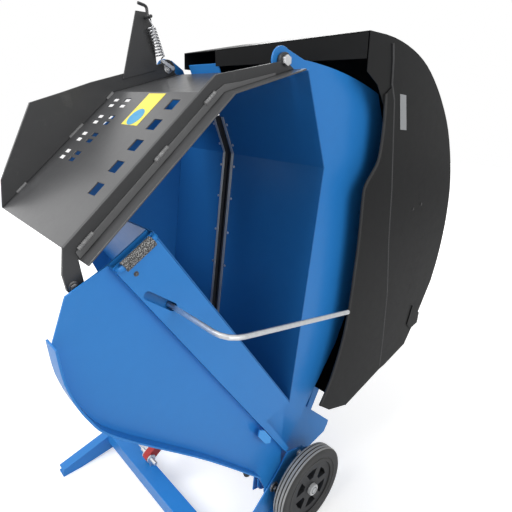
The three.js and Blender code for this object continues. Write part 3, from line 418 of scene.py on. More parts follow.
# %% Castings
def cast_finish():
    finish = Finish("painted_casting")
    rough = finish.noise(160, 6, 0.7)
    color = finish.mix(finish.noise(12, 4), (0.13, 0.14, 0.15), (0.2, 0.21, 0.22))
    finish.bump(rough, 0.35, 0.0012)
    return finish.set(Base_Color=color, Roughness=(rough * 0.2 + 0.42).clamped())


cast_grey = cast_finish()
print("casting", cast_grey.name)

# %% [markdown]
# ## Plastic and belt rubber
# Moulded plastic has a fine even grain. Each part of the machine has its own grain and tone,
# and the belt's rubber is the same recipe with a stronger grain.


# %% Plastic and belt rubber
def moulded(name, dark, light, roughness, grain, strength):
    finish = Finish(name)
    spots = finish.noise(grain, 3, 0.6)
    color = finish.mix(finish.noise(18, 5, 0.6), dark, light)
    finish.bump(spots, strength, 0.0006)
    return finish.set(Base_Color=color, Roughness=(spots * 0.18 + (roughness - 0.09)).clamped())


belt_rubber = moulded("belt_rubber", (0.012, 0.012, 0.012), (0.03, 0.03, 0.03), 0.7, 300, 0.3)
wheel_plastic = moulded("wheel_plastic", (0.014, 0.015, 0.017), (0.03, 0.031, 0.034), 0.48, 420, 0.16)
cap_plastic = moulded("cap_plastic", (0.45, 0.46, 0.47), (0.58, 0.59, 0.6), 0.42, 420, 0.1)
box_plastic = moulded("box_plastic", (0.03, 0.031, 0.034), (0.05, 0.051, 0.055), 0.5, 520, 0.22)
knob_plastic = moulded("knob_plastic", (0.012, 0.012, 0.013), (0.026, 0.026, 0.028), 0.4, 520, 0.14)
green_plastic = moulded("green_plastic", (0.02, 0.26, 0.08), (0.03, 0.34, 0.11), 0.35, 300, 0.06)
red_plastic = moulded("red_plastic", (0.45, 0.015, 0.015), (0.56, 0.03, 0.03), 0.35, 300, 0.06)
print("plastics", [plastic.name for plastic in (
    belt_rubber, wheel_plastic, cap_plastic, box_plastic, knob_plastic, green_plastic, red_plastic,
)])

# %% [markdown]
# ## Tyre rubber
# The tops of the tyre's ribs are painted a patchy pale grey, a painted highlight, and are made a
# little rougher. The distance to the axle tells the tops of the ribs from the grooves and the
# side walls.


# %% Tyre rubber
def tyre_finish():
    finish = Finish("tyre_rubber")
    grain = finish.noise(240, 3, 0.6)
    clouds = finish.noise(18, 5, 0.6)
    # Painted highlight: the tops of the ribs are mixed towards a pale grey, in patches.
    rib_top_highlight = finish.ramp(finish.radius(AXLE) * 8, (0.978, 0), (0.988, 1)) * (clouds * 0.7 + 0.5).clamped()
    dark = finish.mix(clouds, (0.014, 0.014, 0.015), (0.034, 0.034, 0.033))
    finish.bump(grain, 0.25, 0.0006)
    return finish.set(
        Base_Color=finish.mix(rib_top_highlight, dark, (0.4, 0.4, 0.39)),
        Roughness=(grain * 0.15 + rib_top_highlight * 0.2 + 0.42).clamped(),
    )


tyre_rubber = tyre_finish()
print("tyre", tyre_rubber.name)

# %% [markdown]
# ## The handle's sleeve
# The sleeve is black with pale specks. Noise that is cut off at a level leaves such specks.


# %% Speckled sleeve
def speckled_finish():
    finish = Finish("speckled_sleeve")
    specks = finish.noise(620, 2) > 0.56
    color = finish.mix(specks, (0.035, 0.035, 0.036), (0.42, 0.42, 0.41))
    finish.bump(finish.noise(620, 2), 0.5, 0.0008)
    return finish.set(Base_Color=color, Roughness=0.66)


speckled = speckled_finish()
print("sleeve", speckled.name)

# %% [markdown]
# ## Printed film
# Labels are thin film. They are plain here, with a little wear towards a darker tone.


# %% Printed film
def film_finish(name, color, edge):
    finish = Finish(name)
    wear = finish.ramp(finish.noise(60, 6, 0.7), (0.55, 0), (0.8, 1))
    finish.bump(finish.noise(90), 0.08, 0.0003)
    return finish.set(
        Base_Color=finish.mix(wear * 0.3, color, edge), Roughness=(wear * 0.2 + 0.38).clamped(),
    )


yellow_film = film_finish("yellow_film", (0.9, 0.74, 0.09), (0.72, 0.58, 0.1))
blue_film = film_finish("blue_film", (0.05, 0.33, 0.6), (0.05, 0.24, 0.42))
grey_film = film_finish("grey_film", (0.3, 0.31, 0.32), (0.2, 0.2, 0.21))
print("films", [film.name for film in (yellow_film, blue_film, grey_film)])

# %% [markdown]
# ## Picking and settling a piece
# Blender's operators act on whatever is selected, and the loaded frame leaves its solids
# selected. So everything is deselected before a piece is chosen. A settled piece has its
# place kept in its mesh, one material, and the body of the machine that carries it.


# %% Picking and settling
def deselect():
    if bpy.context.object and bpy.context.object.mode != "OBJECT":
        bpy.ops.object.mode_set(mode="OBJECT")
    bpy.ops.object.select_all(action="DESELECT")


def choose(piece):
    deselect()
    piece.select_set(True)
    bpy.context.view_layer.objects.active = piece


def settle(piece, name, body, material):
    choose(piece)
    bpy.ops.object.transform_apply(location=True, rotation=True, scale=True)
    piece.name = name
    piece.data.name = name
    piece.data.materials.clear()
    piece.data.materials.append(material)
    if body:
        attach(piece, body)
    return piece


print("solids in the frame", len(frame["nodes"]))

# %% [markdown]
# ## Smoothing
# Modifiers are applied as soon as they are set, so that the mesh is final. Edges that turn by
# more than an angle stay sharp. On a bevelled plate the normals are also weighted by the area
# of the faces, which keeps its large faces flat and lets only the narrow edge look round.


# %% Smoothing
def apply_modifier(piece, kind, **settings):
    choose(piece)
    modifier = piece.modifiers.new(kind.lower(), kind)
    for key, value in settings.items():
        setattr(modifier, key, value)
    bpy.ops.object.modifier_apply(modifier=modifier.name)


def smooth(piece, angle, weighted=False):
    choose(piece)
    bpy.ops.object.shade_smooth_by_angle(angle=math.radians(angle))
    if weighted:
        apply_modifier(piece, "WEIGHTED_NORMAL", mode="FACE_AREA", weight=100, keep_sharp=True)


print("smoothing uses", ("BEVEL", "WEIGHTED_NORMAL"))

# %% [markdown]
# ## Dressing a solid
# A sheet metal part looks real once its edges are rounded. The solids of the frame are loose
# triangles with hard edges, so a copy is made, its doubled points are merged, its flat
# triangles are dissolved into clean faces, and a bevel rounds the edges. The copy then takes
# the solid's place.

# %% Dressing a solid
SAME_POINT = 0.02 * MM
FLAT_TURN = math.radians(0.6)
PLATE_SMOOTH = 38


def dressed(node, material, width, segments=2, angle=20):
    source = frame["nodes"][node]
    piece = bpy.data.objects.new(node + "_finished", source.data.copy())
    bpy.context.scene.collection.objects.link(piece)
    choose(piece)
    bpy.ops.object.mode_set(mode="EDIT")
    bpy.ops.mesh.select_all(action="SELECT")
    bpy.ops.mesh.remove_doubles(threshold=SAME_POINT)
    bpy.ops.mesh.dissolve_limited(angle_limit=FLAT_TURN)
    bpy.ops.object.mode_set(mode="OBJECT")
    apply_modifier(
        piece, "BEVEL", width=width * MM, segments=segments, limit_method="ANGLE",
        angle_limit=math.radians(angle), use_clamp_overlap=True, harden_normals=False,
    )
    settle(piece, node + "_finished", source["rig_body"], material)
    smooth(piece, PLATE_SMOOTH, weighted=True)
    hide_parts(node)
    return piece


print("copies are smoothed by", PLATE_SMOOTH, "degrees")

# %% [markdown]
# ## Blue sheets
# The plates of the frame and the cradle are cut sheet and box section. Thin sheets take a
# narrow edge, and thick or welded parts a wider one. The width is in millimetres.

# %% Blue sheets
BLUE_SHEETS = {
    "end_strip": 0.8, "cradle_front_plate": 1.0, "sector_plate": 1.0, "rim_band": 1.0, "stop_guide": 0.8,
    "far_hinge_bracket": 1.0, "bridge_bracket": 1.0, "handle_bar": 0.8, "leg_near": 1.0, "leg_far": 1.0,
    "cross_rail": 1.2, "side_plate_near": 1.0, "side_plate_far": 1.0, "cross_box": 1.2, "rear_stand": 1.6,
    "pedestal": 1.4, "bearing_housing": 1.6,
}
for node, width in BLUE_SHEETS.items():
    dressed(node, blue_paint, width)
for node, width in {"trough": 0.9, "far_arm": 1.0}.items():
    dressed(node, shaded_paint, width)
print("blue sheets", len(BLUE_SHEETS) + 2)

# %% [markdown]
# ## Dark sheets and covers
# The flap and its ribs, the hood and the belt's guard are dark. The red latch and the switch
# box are finished here too; the box is moulded, so its edges are rounder.

# %% Dark sheets and covers
DARK_SHEETS = {
    "near_rib": (rib_shade_seam_highlight_paint, 0.9), "far_rib": (rib_shade_seam_highlight_paint, 0.9), "spring_bracket": (rib_shade_seam_highlight_paint, 0.9),
    "flap_sheet": (flap_paint, 0.7), "hood_wrap": (hood_paint, 0.7), "hood_header": (hood_paint, 0.7),
    "hood_near_plate": (hood_paint, 0.7), "hood_far_plate": (hood_paint, 0.7),
    "hood_front_panel": (hood_paint, 1.0), "belt_guard": (hood_paint, 1.0), "guard_back": (hood_paint, 1.0),
    "transport_latch": (red_paint, 1.2),
}
for node, (material, width) in DARK_SHEETS.items():
    dressed(node, material, width)
dressed("switch_box", box_plastic, 2.4, segments=3)
print("dark sheets", len(DARK_SHEETS), "and the switch box")

# %% [markdown]
# ## Round metal parts
# Shafts, bolts, pulleys and buttons are already round in the frame. Their copies only need
# soft edges, and a slightly larger angle keeps the bevel off the facets of their sides.

# %% Round metal parts
ROUND_ANGLE = 22
ROUND_PARTS = {
    "pivot_shaft": (pivot_steel, 1.2), "axle": (pivot_steel, 1.0), "hinge_bolt_near": (zinc, 0.8),
    "hinge_bolt_far": (zinc, 0.8), "latch_bolt": (zinc, 0.8), "saw_blade": (blade_steel, 0.3),
    "arbor_shaft": (shaft_steel, 1.0), "flange_nut": (zinc, 1.0), "arbor_pulley": (cast_grey, 1.2),
    "motor_pulley": (cast_grey, 1.2), "motor_shaft": (pivot_steel, 0.8), "bearing_near": (shaft_steel, 0.6),
    "bearing_far": (shaft_steel, 0.6), "motor_case": (cast_grey, 3.0), "drive_belt": (belt_rubber, 1.2),
    "length_stop": (galvanised, 0.5), "clamp_knob": (knob_plastic, 1.5), "power_inlet": (box_plastic, 1.5),
    "start_button": (green_plastic, 1.2), "stop_button": (red_plastic, 1.2), "handle_sleeve": (speckled, 1.5),
}
for node, (material, width) in ROUND_PARTS.items():
    dressed(node, material, width, angle=ROUND_ANGLE)
print("round parts", len(ROUND_PARTS))

# %% [markdown]
# ## Forms through rows of points
# A tyre, a spring, a strip and a small plate have one thing in common: a section is carried
# along a line. So one tool joins rows of points, caps the ends, or joins the last row to the
# first where the form goes all the way round. A soft edge is a bevel, as on the sheets.


# %% Forms through rows
def lofted(name, rows, body, material, edge=0, angle=PLATE_SMOOTH, ring=False):
    mesh = bmesh.new()
    loops = [[mesh.verts.new(point) for point in row] for row in rows]
    for first, second in zip(loops, loops[1:] + loops[:1] if ring else loops[1:]):
        for corner in range(len(first)):
            after = (corner + 1) % len(first)
            mesh.faces.new((first[corner], first[after], second[after], second[corner]))
    if not ring:
        mesh.faces.new(loops[0])
        mesh.faces.new(list(reversed(loops[-1])))
    bmesh.ops.recalc_face_normals(mesh, faces=mesh.faces)
    data = bpy.data.meshes.new(name)
    mesh.to_mesh(data)
    mesh.free()
    piece = bpy.data.objects.new(name, data)
    bpy.context.scene.collection.objects.link(piece)
    if edge:
        apply_modifier(
            piece, "BEVEL", width=edge * MM, segments=2, limit_method="ANGLE",
            angle_limit=math.radians(20), use_clamp_overlap=True,
        )
    settle(piece, name, body, material)
    smooth(piece, angle, weighted=bool(edge))
    return piece


print("solid forms are smoothed by", PLATE_SMOOTH, "degrees unless told otherwise")

# %% [markdown]
# ## The tyre's section
# The tyre is a solid rubber band. Four ribs stand round its tread with three grooves between
# them, and each side wall has a shallow groove near the rim. The section is drawn once, as
# pairs of a place across and a radius.

# %% Tyre section
TYRE_OUTER = 124.6
TYRE_INNER = 84.5
TREAD = (
    (0.0, 9), (0.03, 4), (0.09, 1), (0.2, 0), (0.215, 7), (0.275, 7), (0.29, 0), (0.45, 0), (0.465, 7),
    (0.535, 7), (0.55, 0), (0.71, 0), (0.725, 7), (0.785, 7), (0.8, 0), (0.91, 1), (0.97, 4), (1.0, 9),
)
WALL_IN = ((0, TYRE_OUTER - 15), (0.5, TYRE_INNER + 14), (2.6, TYRE_INNER + 12), (2.6, TYRE_INNER + 10),
           (0.8, TYRE_INNER + 8), (1.6, TYRE_INNER + 2), (3.5, TYRE_INNER))


def tyre_section(inner_x, outer_x):
    tread = [(inner_x + (outer_x - inner_x) * share, TYRE_OUTER - depth) for share, depth in TREAD]
    side = [(outer_x - inset, radius) for inset, radius in WALL_IN]
    return tread + side + [(inner_x + outer_x - x, radius) for x, radius in reversed(side)]


print("tyre section", len(tyre_section(0, 1)), "points")

# %% [markdown]
# ## Wheels
# The section is spun round the axle to make each tyre. The moulded rim and the hub cap keep
# the spokes and the shape of their solids, with round moulded edges.

# %% Wheels
TYRE_STEPS = 72


def round_axle(section):
    """One row of points for each step round the axle."""
    rows = []
    for step in range(TYRE_STEPS):
        turn = 2 * math.pi * step / TYRE_STEPS
        back, up = math.cos(turn) * MM, math.sin(turn) * MM
        rows.append([
            Vector((ACROSS_ZERO + across * MM, AXLE.y + radius * back, AXLE.z + radius * up))
            for across, radius in section
        ])
    return rows


for end in ("near", "far"):
    inner_x, outer_x = [(corner.x - ACROSS_ZERO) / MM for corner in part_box("tyre_" + end)]
    tyre = lofted(
        f"tyre_{end}_ribbed", round_axle(tyre_section(inner_x, outer_x)), "wheel_" + end, tyre_rubber,
        angle=32, ring=True,
    )
    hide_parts("tyre_" + end)
    dressed("rim_" + end, wheel_plastic, 2.0, segments=3)
    dressed("hub_cap_" + end, cap_plastic, 1.6, segments=3)
    print(tyre.name, round(outer_x - inner_x, 1), "mm wide")

# %% [markdown]
# ## Discs
# Many small parts start as a cylinder: bolt heads, washers, screws, plugs. A new cylinder
# stands upright at zero, so it is turned to its axis, its turn is applied, and a bevel softens
# its rim. The cap of each hub gets a dark ring and a pale middle in this way.


# %% Discs and hub caps
def disc(centre, axis, radius, depth, sides=32, edge=0):
    deselect()
    bpy.ops.mesh.primitive_cylinder_add(vertices=sides, radius=radius * MM, depth=depth * MM, location=centre)
    piece = bpy.context.object
    piece.rotation_euler = axis.to_track_quat("Z", "Y").to_euler()
    choose(piece)
    bpy.ops.object.transform_apply(location=True, rotation=True, scale=True)
    if edge:
        apply_modifier(
            piece, "BEVEL", width=edge * MM, segments=2, limit_method="ANGLE", angle_limit=math.radians(40),
        )
    return piece


CAP_DISCS = (("cap_ring", 10.5, 0.1, wheel_plastic), ("cap_middle", 8.5, 0.2, cap_plastic))
for end, sign in (("near", 1), ("far", -1)):
    low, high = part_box("hub_cap_" + end)
    cap_face = high.x if sign > 0 else low.x
    for name, radius, lift, material in CAP_DISCS:
        spot = Vector((cap_face + sign * lift * MM / 2, AXLE.y, AXLE.z))
        settle(disc(spot, AXIS, radius, lift, sides=40), f"{name}_{end}", "wheel_" + end, material)
print("hub caps have", len(CAP_DISCS), "discs each")

# %% [markdown]
# ## Swept wire
# A round wire along a line of points keeps its section square to the line at each point. The
# direction across is carried on from ring to ring, so that the tube doesn't twist.


# %% Swept wire
TUBE_SMOOTH = 50


def swept(name, points, radii, sides, body, material):
    """A tube along points; radii is one value or one for each point, in millimetres."""
    if not isinstance(radii, (list, tuple)):
        radii = [radii] * len(points)
    across = None
    rings = []
    for index, (point, radius) in enumerate(zip(points, radii)):
        along = (points[min(index + 1, len(points) - 1)] - points[max(index - 1, 0)]).normalized()
        if across is None:
            across = along.orthogonal().normalized()
        across = (across - along * across.dot(along)).normalized()
        up = along.cross(across)
        ring = []
        for side in range(sides):
            turn = 2 * math.pi * side / sides
            ring.append(point + (across * math.cos(turn) + up * math.sin(turn)) * radius * MM)
        rings.append(ring)
    return lofted(name, rings, body, material, angle=TUBE_SMOOTH)


print("swept tubes are smoothed by", TUBE_SMOOTH, "degrees")

# %% [markdown]
# ## Spring
# The spring that helps the flap up is one wire with ten curls. It hooks on a bolt at each end.
# It crosses from the flap to the cradle, so it is carried by neither body.

# %% Spring
SPRING_TOP = (-26, 1368)
SPRING_FOOT = (6, 1268)
SPRING_RADIUS = 10.4
SPRING_WIRE = 1.7
SPRING_CURLS = 10
SPRING_LEADS = (23.3, 11.3)
SPRING_HOOKS = (4.6, 7)
CURL_STEPS = 20

low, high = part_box("flap_spring")
top = at(0, *SPRING_TOP)
foot = at(0, *SPRING_FOOT)
top.x = foot.x = (low.x + high.x) / 2
down = (foot - top).normalized()
front = down.cross(AXIS)
span = (foot - top).length - sum(SPRING_LEADS) * MM
wire_points = [top + down * hook * MM for hook in SPRING_HOOKS]
for step in range(SPRING_CURLS * CURL_STEPS + 1):
    turn = 2 * math.pi * step / CURL_STEPS
    along = SPRING_LEADS[0] * MM + span * step / (SPRING_CURLS * CURL_STEPS)
    around = AXIS * math.cos(turn) + front * math.sin(turn)
    wire_points.append(top + down * along + around * SPRING_RADIUS * MM)
wire_points += [foot - down * hook * MM for hook in reversed(SPRING_HOOKS)]
spring = swept("flap_spring_wire", wire_points, SPRING_WIRE, 10, None, spring_wire)
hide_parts("flap_spring")
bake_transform(spring)
print("spring of", SPRING_CURLS, "curls,", round(span / MM / SPRING_CURLS, 1), "mm apart")

# %% [markdown]
# ## Strips on the trough's wall
# The blade comes through a slot in the wall of the trough. What lines the slot follows the
# bends of the wall, so a strip is a small section carried along the wall's own line, at
# heights measured square to its face.

# %% Strips on a wall
BLADE_ACROSS = (ARBOR.x - ACROSS_ZERO) / MM
WALL = [Vector(point) for point in ((58, 540), (132, 1033), (98.5, 1132))]
STRIP_EDGE = 0.5


def square_to(start, end):
    along = (end - start).normalized()
    return Vector((-along.y, along.x))


def wall_strip(name, places, heights, material):
    """A strip between two places across and two heights over the wall's face."""
    (from_x, to_x), (low, high) = sorted(places), heights
    rows = []
    for index, spot in enumerate(WALL):
        out = square_to(WALL[max(index - 1, 0)], WALL[min(index + 1, len(WALL) - 1)])
        corners = ((from_x, low), (to_x, low), (to_x, high), (from_x, high))
        rows.append([at(x, *(spot + out * height)) for x, height in corners])
    return lofted(name, rows, "cradle", material, STRIP_EDGE)


print("blade runs at", round(BLADE_ACROSS, 1), "mm across")

# %% [markdown]
# ## Edges of the blade's slot
# Black rubber lies against the slot on both sides, and a bright strip holds it down. A lining
# covers the cut edge of the sheet, and a rubber lip stands behind the slot and closes the
# line of sight. The lip stops short of the arbor when the cradle is rocked back.

# %% Slot strips
SLOT_HALF = 6.5
RUBBER_WIDTH = 7
STEEL_WIDTH = 9
ON_WALL = 0.35
for end, side in (("near", 1), ("far", -1)):
    inner = BLADE_ACROSS + side * SLOT_HALF
    seam = inner + side * RUBBER_WIDTH
    wall_strip(f"slot_strip_{end}_rubber", (inner, seam), (ON_WALL, 1.6), belt_rubber)
    wall_strip(f"slot_strip_{end}", (seam, seam + side * STEEL_WIDTH), (ON_WALL, 2.5), strip_metal)
far_side = BLADE_ACROSS - SLOT_HALF
wall_strip("slot_lining", (BLADE_ACROSS - 5.95, BLADE_ACROSS - 4.8), (-3.4, 1.6), belt_rubber)
wall_strip("slot_rubber_lip", (far_side - 2.4, far_side - 0.6), (-3.6, -17), belt_rubber)
print("slot strips", [round(BLADE_ACROSS + side * (SLOT_HALF + RUBBER_WIDTH), 1) for side in (1, -1)])

# %% [markdown]
# ## Screws beside the slot
# Small round screws stand in a row on each side and hold the strips. Each is a low disc with
# a soft rim, set square to the wall where it sits.

# %% Slot screws
SCREW_OUT = 6
SCREW_RADIUS = 3.6
SCREW_DEPTH = 1.8
SCREW_PLACES = ((0, 0.35), (0, 0.55), (0, 0.75), (0, 0.93), (1, 0.25), (1, 0.8))
for end, side in (("near", 1), ("far", -1)):
    across = BLADE_ACROSS + side * (SLOT_HALF + RUBBER_WIDTH + STEEL_WIDTH + SCREW_OUT)
    for number, (segment, share) in enumerate(SCREW_PLACES):
        start, end_point = WALL[segment], WALL[segment + 1]
        out = square_to(start, end_point)
        normal = AXIS.cross(at(0, *end_point) - at(0, *start)).normalized()
        spot = at(across, *(start.lerp(end_point, share) + out * 0.3)) + normal * SCREW_DEPTH / 2 * MM
        head = disc(spot, normal, SCREW_RADIUS, SCREW_DEPTH, sides=24, edge=0.6)
        settle(head, f"slot_strip_{end}_screw_{number}", "cradle", zinc)
        smooth(head, 30)
print("screws", 2 * len(SCREW_PLACES))

# %% [markdown]
# ## Bolts
# A bolt that shows is a washer, a hexagon head and the round face of the head, each a disc of
# its own, joined into one piece. It is seated on the plate that it holds, and its size is
# that of its thread.


# %% Bolts
def bolt(name, face, axis, size, body, material):
    washer, head, flat = (share * size for share in (0.16, 0.65, 0.92))
    parts = [
        disc(face + axis * washer / 2 * MM, axis, 1.15 * size, washer, edge=washer * 0.3),
        disc(face + axis * (washer + head / 2) * MM, axis, flat, head, sides=6, edge=head * 0.14),
        disc(face + axis * (washer + head) * MM, axis, flat * 0.78, head * 0.12, sides=24, edge=head * 0.05),
    ]
    choose(parts[0])
    for part in parts:
        part.select_set(True)
    bpy.ops.object.join()
    piece = settle(bpy.context.object, name, body, material)
    smooth(piece, 30)
    return piece


LEG_FACE = 296
BOLTS = (
    ("front_hook_bolt", at(274.2, -441, 906), 8, "flap", dark_bolt),
    ("far_hinge_head", at(-161.9, 34, 1253), 11, "flap", zinc),
    ("pivot_bolt", at(near_face("pivot_shaft"), 0, 150), 11, "frame", dark_bolt),
    ("leg_bracket_bolt", at(LEG_FACE, 104, 203), 8, "frame", zinc),
    ("strip_bolt", at(near_face("end_strip"), -350, 912), 4, "cradle", dark_bolt),
)
for name, face, size, body, material in BOLTS:
    bolt(name, face, AXIS, size, body, material)
print("bolts", [entry[0] for entry in BOLTS])

# %% [markdown]
# ## Small plates and the buffer
# A flat piece is an outline in the side's plane, carried from one place across to another.
# The leg has a shallow pad under its bolt, the drum a folded tab, and the cradle a bright
# tab. A rubber buffer under the cradle takes the knock when it falls back.


# %% Small plates
def plate(name, outline, from_x, to_x, body, material, edge):
    rows = [[at(across, back, up) for back, up in outline] for across in (from_x, to_x)]
    return lofted(name, rows, body, material, edge)


HOOD_NEAR = near_face("hood_near_plate")
LEG_PAD = [(84, 186), (120, 186), (120, 222), (96, 226)]
DRUM_TAB = [(655, 500), (712, 452), (708, 413), (660, 406), (632, 434)]
CRADLE_TAB = [(-68, 404), (-50, 392), (-26, 352), (-30, 338), (-48, 348), (-72, 386)]
plate("leg_bracket", LEG_PAD, LEG_FACE - 0.2, LEG_FACE + 0.1, "frame", blue_paint, 0.05)
plate("drum_tab", DRUM_TAB, HOOD_NEAR + 0.1, HOOD_NEAR + 3, "frame", hood_paint, 0.6)
plate("cradle_tab", CRADLE_TAB, 306, 310.5, "cradle", tab_paint, 0.8)

buffer_axis = Vector((0, 0.25, -1)).normalized()
buffer = settle(disc(at(282, -90, 262), buffer_axis, 9, 26, edge=1.5), "cradle_buffer", "cradle", belt_rubber)
smooth(buffer, 30)
print("small plates and", buffer.name)

# %% [markdown]
# ## The flap's own line
# The flap is bent sheet, so a place on it is given by the segment of its bent line, a share
# along that segment, and a lift square to its face. A pale bar runs along the foot of the
# near rib, where the rib is joined to the sheet; its pale grey is a painted highlight on the
# lit side of the rib.

# %% Bar on the flap
FLAP_LINE = [Vector(point) for point in ((60, 1238), (-127, 1194), (-427, 948))]
BAR_FAR = 274.3
BAR_NEAR = 277.2
BAR_HEIGHT = 13
BAR_SEAT = 0.4
BAR_PLACES = (
    (1, 0.995, BAR_SEAT), (1, 0, BAR_SEAT), (0, 0.3, BAR_SEAT), (0, 0.3, 5), (0, 0.77, 9),
    (0, 0.98, BAR_HEIGHT), (1, 0.03, BAR_HEIGHT), (1, 0.985, BAR_HEIGHT),
)


def flap_point(segment, share, lift):
    start, end = FLAP_LINE[segment], FLAP_LINE[segment + 1]
    return start.lerp(end, share) - square_to(start, end) * lift


def on_flap(across, share, lift):
    """A place on the long front part of the flap."""
    return at(across, *flap_point(1, share, lift))


bar_outline = [flap_point(*place) for place in BAR_PLACES]
# The bar's pale grey is a painted highlight on the side of the near rib.
plate("near_rib_bar", bar_outline, BAR_FAR, BAR_NEAR, "flap", bar_highlight_paint, 0.5)
print("flap is", [round((b - a).length) for a, b in zip(FLAP_LINE, FLAP_LINE[1:])], "mm along its bends")

# %% [markdown]
# ## Weld beads
# The ribs are welded to the flap in short runs. A bead is a low tube whose radius ripples as
# the pool of metal set, with a little chance in each ripple.


# %% Weld beads
BEAD_RADIUS = 3.8
RIPPLE = 3.2
RIPPLE_STEPS = 3
END_SHARE = 0.6


def weld(name, start, end, radius, body, material):
    count = max(int((end - start).length / MM / RIPPLE * RIPPLE_STEPS), 4)
    points = [start.lerp(end, step / count) for step in range(count + 1)]
    radii = []
    for step in range(count + 1):
        wave = 1 + 0.16 * math.sin(step * 2 * math.pi / RIPPLE_STEPS) + random.uniform(-0.06, 0.06)
        radii.append(radius * wave * (END_SHARE if step in (0, count) else 1))
    return swept(name, points, radii, 8, body, material)


WELD_RUNS = {
    "near": (BAR_NEAR - 0.6, BAR_HEIGHT, ((0.88, 0.97), (0.39, 0.48), (0.04, 0.12))),
    "far": (-160.9, 0.6, ((0.8, 0.88), (0.3, 0.42), (0.01, 0.07))),
}
for side, (across, lift, runs) in WELD_RUNS.items():
    for number, (start, end) in enumerate(runs):
        line = on_flap(across, start, lift), on_flap(across, end, lift)
        bead = weld(f"weld_{side}_rib_{number}", *line, BEAD_RADIUS, "flap", weld_metal)
        print(bead.name, round((line[1] - line[0]).length / MM), "mm long")

# %% [markdown]
# ## Plain label and plate
# A yellow film with a blue disc is stuck to the flap, and a small grey plate to the hood.
# Both are plain. A film is a thin slab just over the sheet, so that its edge catches light.

# %% Plain label and plate
LABEL_ACROSS = (17, 86)
LABEL_SHARES = (0.013, 0.263)
LABEL_LIFTS = (0.1, 0.5)
left, right = LABEL_ACROSS
front, rear = LABEL_SHARES
corners = ((left, front), (right, front), (right, rear), (left, rear))
label_rows = [[on_flap(x, share, lift) for x, share in corners] for lift in LABEL_LIFTS]
lofted("flap_label", label_rows, "flap", yellow_film, 0.1)
flap_up = (on_flap(0, 0.5, 1) - on_flap(0, 0.5, 0)).normalized()
settle(disc(on_flap(50, 0.2, 0.7), flap_up, 24, 0.4, sides=64), "flap_label_disc", "flap", blue_film)

HOOD_PLATE = [(417, 1189), (448, 1186), (471, 1097), (438, 1100)]
plate("hood_plate", HOOD_PLATE, HOOD_NEAR + 0.05, HOOD_NEAR + 0.8, "frame", grey_film, 0.2)
print("label", LABEL_ACROSS[1] - LABEL_ACROSS[0], "mm wide")

# %% [markdown]
# ## Seam of the hood
# The near side of the drum is closed with a folded seam that runs down its sheet. A low tube
# along that line gives the fold its soft highlight, and its grey, lighter than the hood's
# black, is a painted highlight.

# %% Hood seam
SEAM = [(359, 1302), (367, 1266), (372, 1212), (390, 1174), (403, 1089), (427, 939), (441, 796), (470, 611),
        (477, 447), (477, 335)]
SEAM_RADIUS = 3.2
seam_points = [at(HOOD_NEAR + 0.6, back, up) for back, up in SEAM]
# The seam takes the ribs' lighter grey: a painted highlight on the black hood.
swept("hood_seam", seam_points, SEAM_RADIUS, 10, "frame", rib_shade_seam_highlight_paint)
print("seam from", SEAM[0][1], "to", SEAM[-1][1], "mm up")

# %% [markdown]
# ## Rubber edge of the front panel
# The front panel's free edge is covered with a thick rubber profile. Its line is smooth, so
# the few points that were taken along it are joined by a cubic that passes through each.

# %% Panel edge
BORDER = [(348, 1190), (353, 1134), (351, 1070), (343, 1027), (322, 1000), (297, 973), (289, 945), (288, 850),
          (283, 760), (262, 570), (215, 430), (165, 350)]
BORDER_STEPS = 6
EDGE_RADIUS = 4.2


def rounded_line(points, steps):
    """A smooth line through points, by the usual four point cubic."""
    ends = [points[0]] + points + [points[-1]]
    line = []
    for quad in zip(ends, ends[1:], ends[2:], ends[3:]):
        for t in (step / steps for step in range(steps)):
            weights = (
                -0.5 * t + t * t - 0.5 * t ** 3, 1 - 2.5 * t * t + 1.5 * t ** 3,
                0.5 * t + 2 * t * t - 1.5 * t ** 3, -0.5 * t * t + 0.5 * t ** 3,
            )
            line.append(tuple(sum(w * p[i] for w, p in zip(weights, quad)) for i in (0, 1)))
    return line + [points[-1]]


border_x = near_face("hood_front_panel") - 1
edge_points = [at(border_x, back, up) for back, up in rounded_line(BORDER, BORDER_STEPS)]
swept("panel_rubber_edge", edge_points, EDGE_RADIUS, 14, "frame", belt_rubber)
print("panel edge through", len(edge_points), "points")

# %% [markdown]
# ## Plugs in the hood
# Two small plastic plugs close holes in the drum's side.

# %% Hood plugs
for number, (back, up) in enumerate(((617, 867), (569, 860))):
    plug = disc(at(HOOD_NEAR + 0.6, back, up), AXIS, 5, 1.2, edge=0.4)
    smooth(settle(plug, f"hood_plug_{number}", "frame", knob_plastic), 30)
print("plugs", number + 1)

# %% [markdown]
# ## White room
# The machine stands in a white studio. The world lights it weakly, but the camera and the
# reflections see it white. The Light Path node tells which ray is asking, so the background
# can be white without any more light on the machine.

# %% World
AMBIENT = 0.36
GLOSSY_SHARE = 0.55

world = bpy.data.worlds.new("studio")
bpy.context.scene.world = world
world.use_nodes = True
tree = world.node_tree
background = tree.nodes["Background"]
background.inputs["Color"].default_value = (1, 1, 1, 1)
ray = tree.nodes.new("ShaderNodeLightPath").outputs
camera_ray, glossy_ray, through_ray = (
    Wire(tree, ray[kind]) for kind in ("Is Camera Ray", "Is Glossy Ray", "Is Transmission Ray")
)
seen = (camera_ray + glossy_ray * GLOSSY_SHARE + through_ray).clamped()
strength = seen * (1 - AMBIENT) + AMBIENT
tree.links.new(strength.socket, background.inputs["Strength"])
print("world lights at", AMBIENT)

# %% [markdown]
# ## Floor
# The floor is pale and keeps the machine's shadow. Far out it fades into the white of the
# room, again for the camera alone, so no horizon shows.

# %% Floor
FLOOR_SIZE = 14
NEAR_GLOW = 0.4

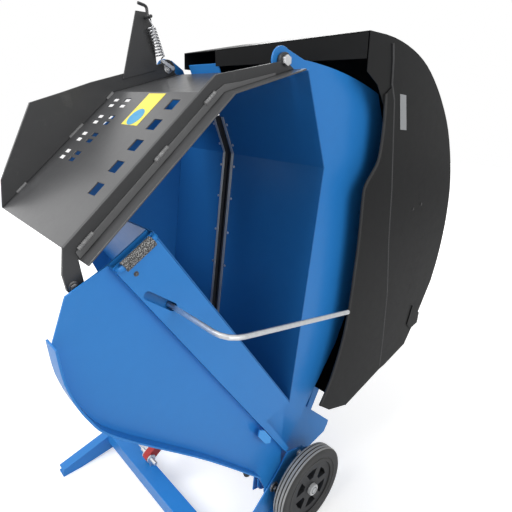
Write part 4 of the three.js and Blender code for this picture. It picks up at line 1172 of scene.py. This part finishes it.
deselect()
bpy.ops.mesh.primitive_plane_add(size=FLOOR_SIZE, location=(0, 0, 0))
floor = bpy.context.object
floor.name = "floor"
bpy.ops.object.mode_set(mode="EDIT")
bpy.ops.mesh.subdivide(number_cuts=6)
bpy.ops.object.mode_set(mode="OBJECT")
pale = Finish("pale_floor")
floor_seen = Wire(pale.tree, pale.tree.nodes.new("ShaderNodeLightPath").outputs["Is Camera Ray"])
floor_x, floor_y, _ = pale.parts(pale.coordinates)
far_out = ((floor_x * floor_x + floor_y * floor_y).power(0.5) * 0.55 - 0.6).clamped()
glow = floor_seen * (far_out * (1 - NEAR_GLOW) + NEAR_GLOW)
floor.data.materials.append(pale.set(
    Base_Color=pale.mix(pale.noise(1.5), (0.86, 0.86, 0.86), (0.9, 0.9, 0.9)), Roughness=1.0,
    Emission_Color=pale.mix(glow, (0, 0, 0), (1, 1, 1)), Emission_Strength=1.0, Specular_IOR_Level=0.0,
))
print("floor", FLOOR_SIZE, "m wide")

# %% [markdown]
# ## Lamps
# Four large, soft lamps stand round the machine. The key light comes from the front and
# above, the others fill the near side, the back and the far side. Their size keeps the
# shadows soft, and their power is low enough that a colour renders about as it is written.


# %% Lamps
def lamp(name, place, target, size, watts):
    data = bpy.data.lights.new(name, "AREA")
    data.shape = "RECTANGLE"
    data.size, data.size_y = size
    data.energy = watts
    light = bpy.data.objects.new(name, data)
    bpy.context.scene.collection.objects.link(light)
    light.location = place
    light.rotation_euler = (target - place).to_track_quat("-Z", "Y").to_euler()


MIDDLE = Vector((0, 0, 0.8))
lamp("key", Vector((-0.6, -2.6, 3.4)), MIDDLE, (2.4, 1.8), 105)
lamp("side", Vector((3.0, -0.4, 2.2)), MIDDLE, (1.8, 2.2), 45)
lamp("back", Vector((-1.6, 2.8, 2.6)), MIDDLE, (2.4, 1.6), 50)
lamp("far", Vector((-3.2, -0.8, 2.1)), Vector((-0.1, -0.5, 1.1)), (2.6, 2.0), 9)
bpy.context.scene.view_settings.view_transform = "Standard"
print("lamps", [light.name for light in bpy.data.lights])

# %% [markdown]

# %% [markdown]
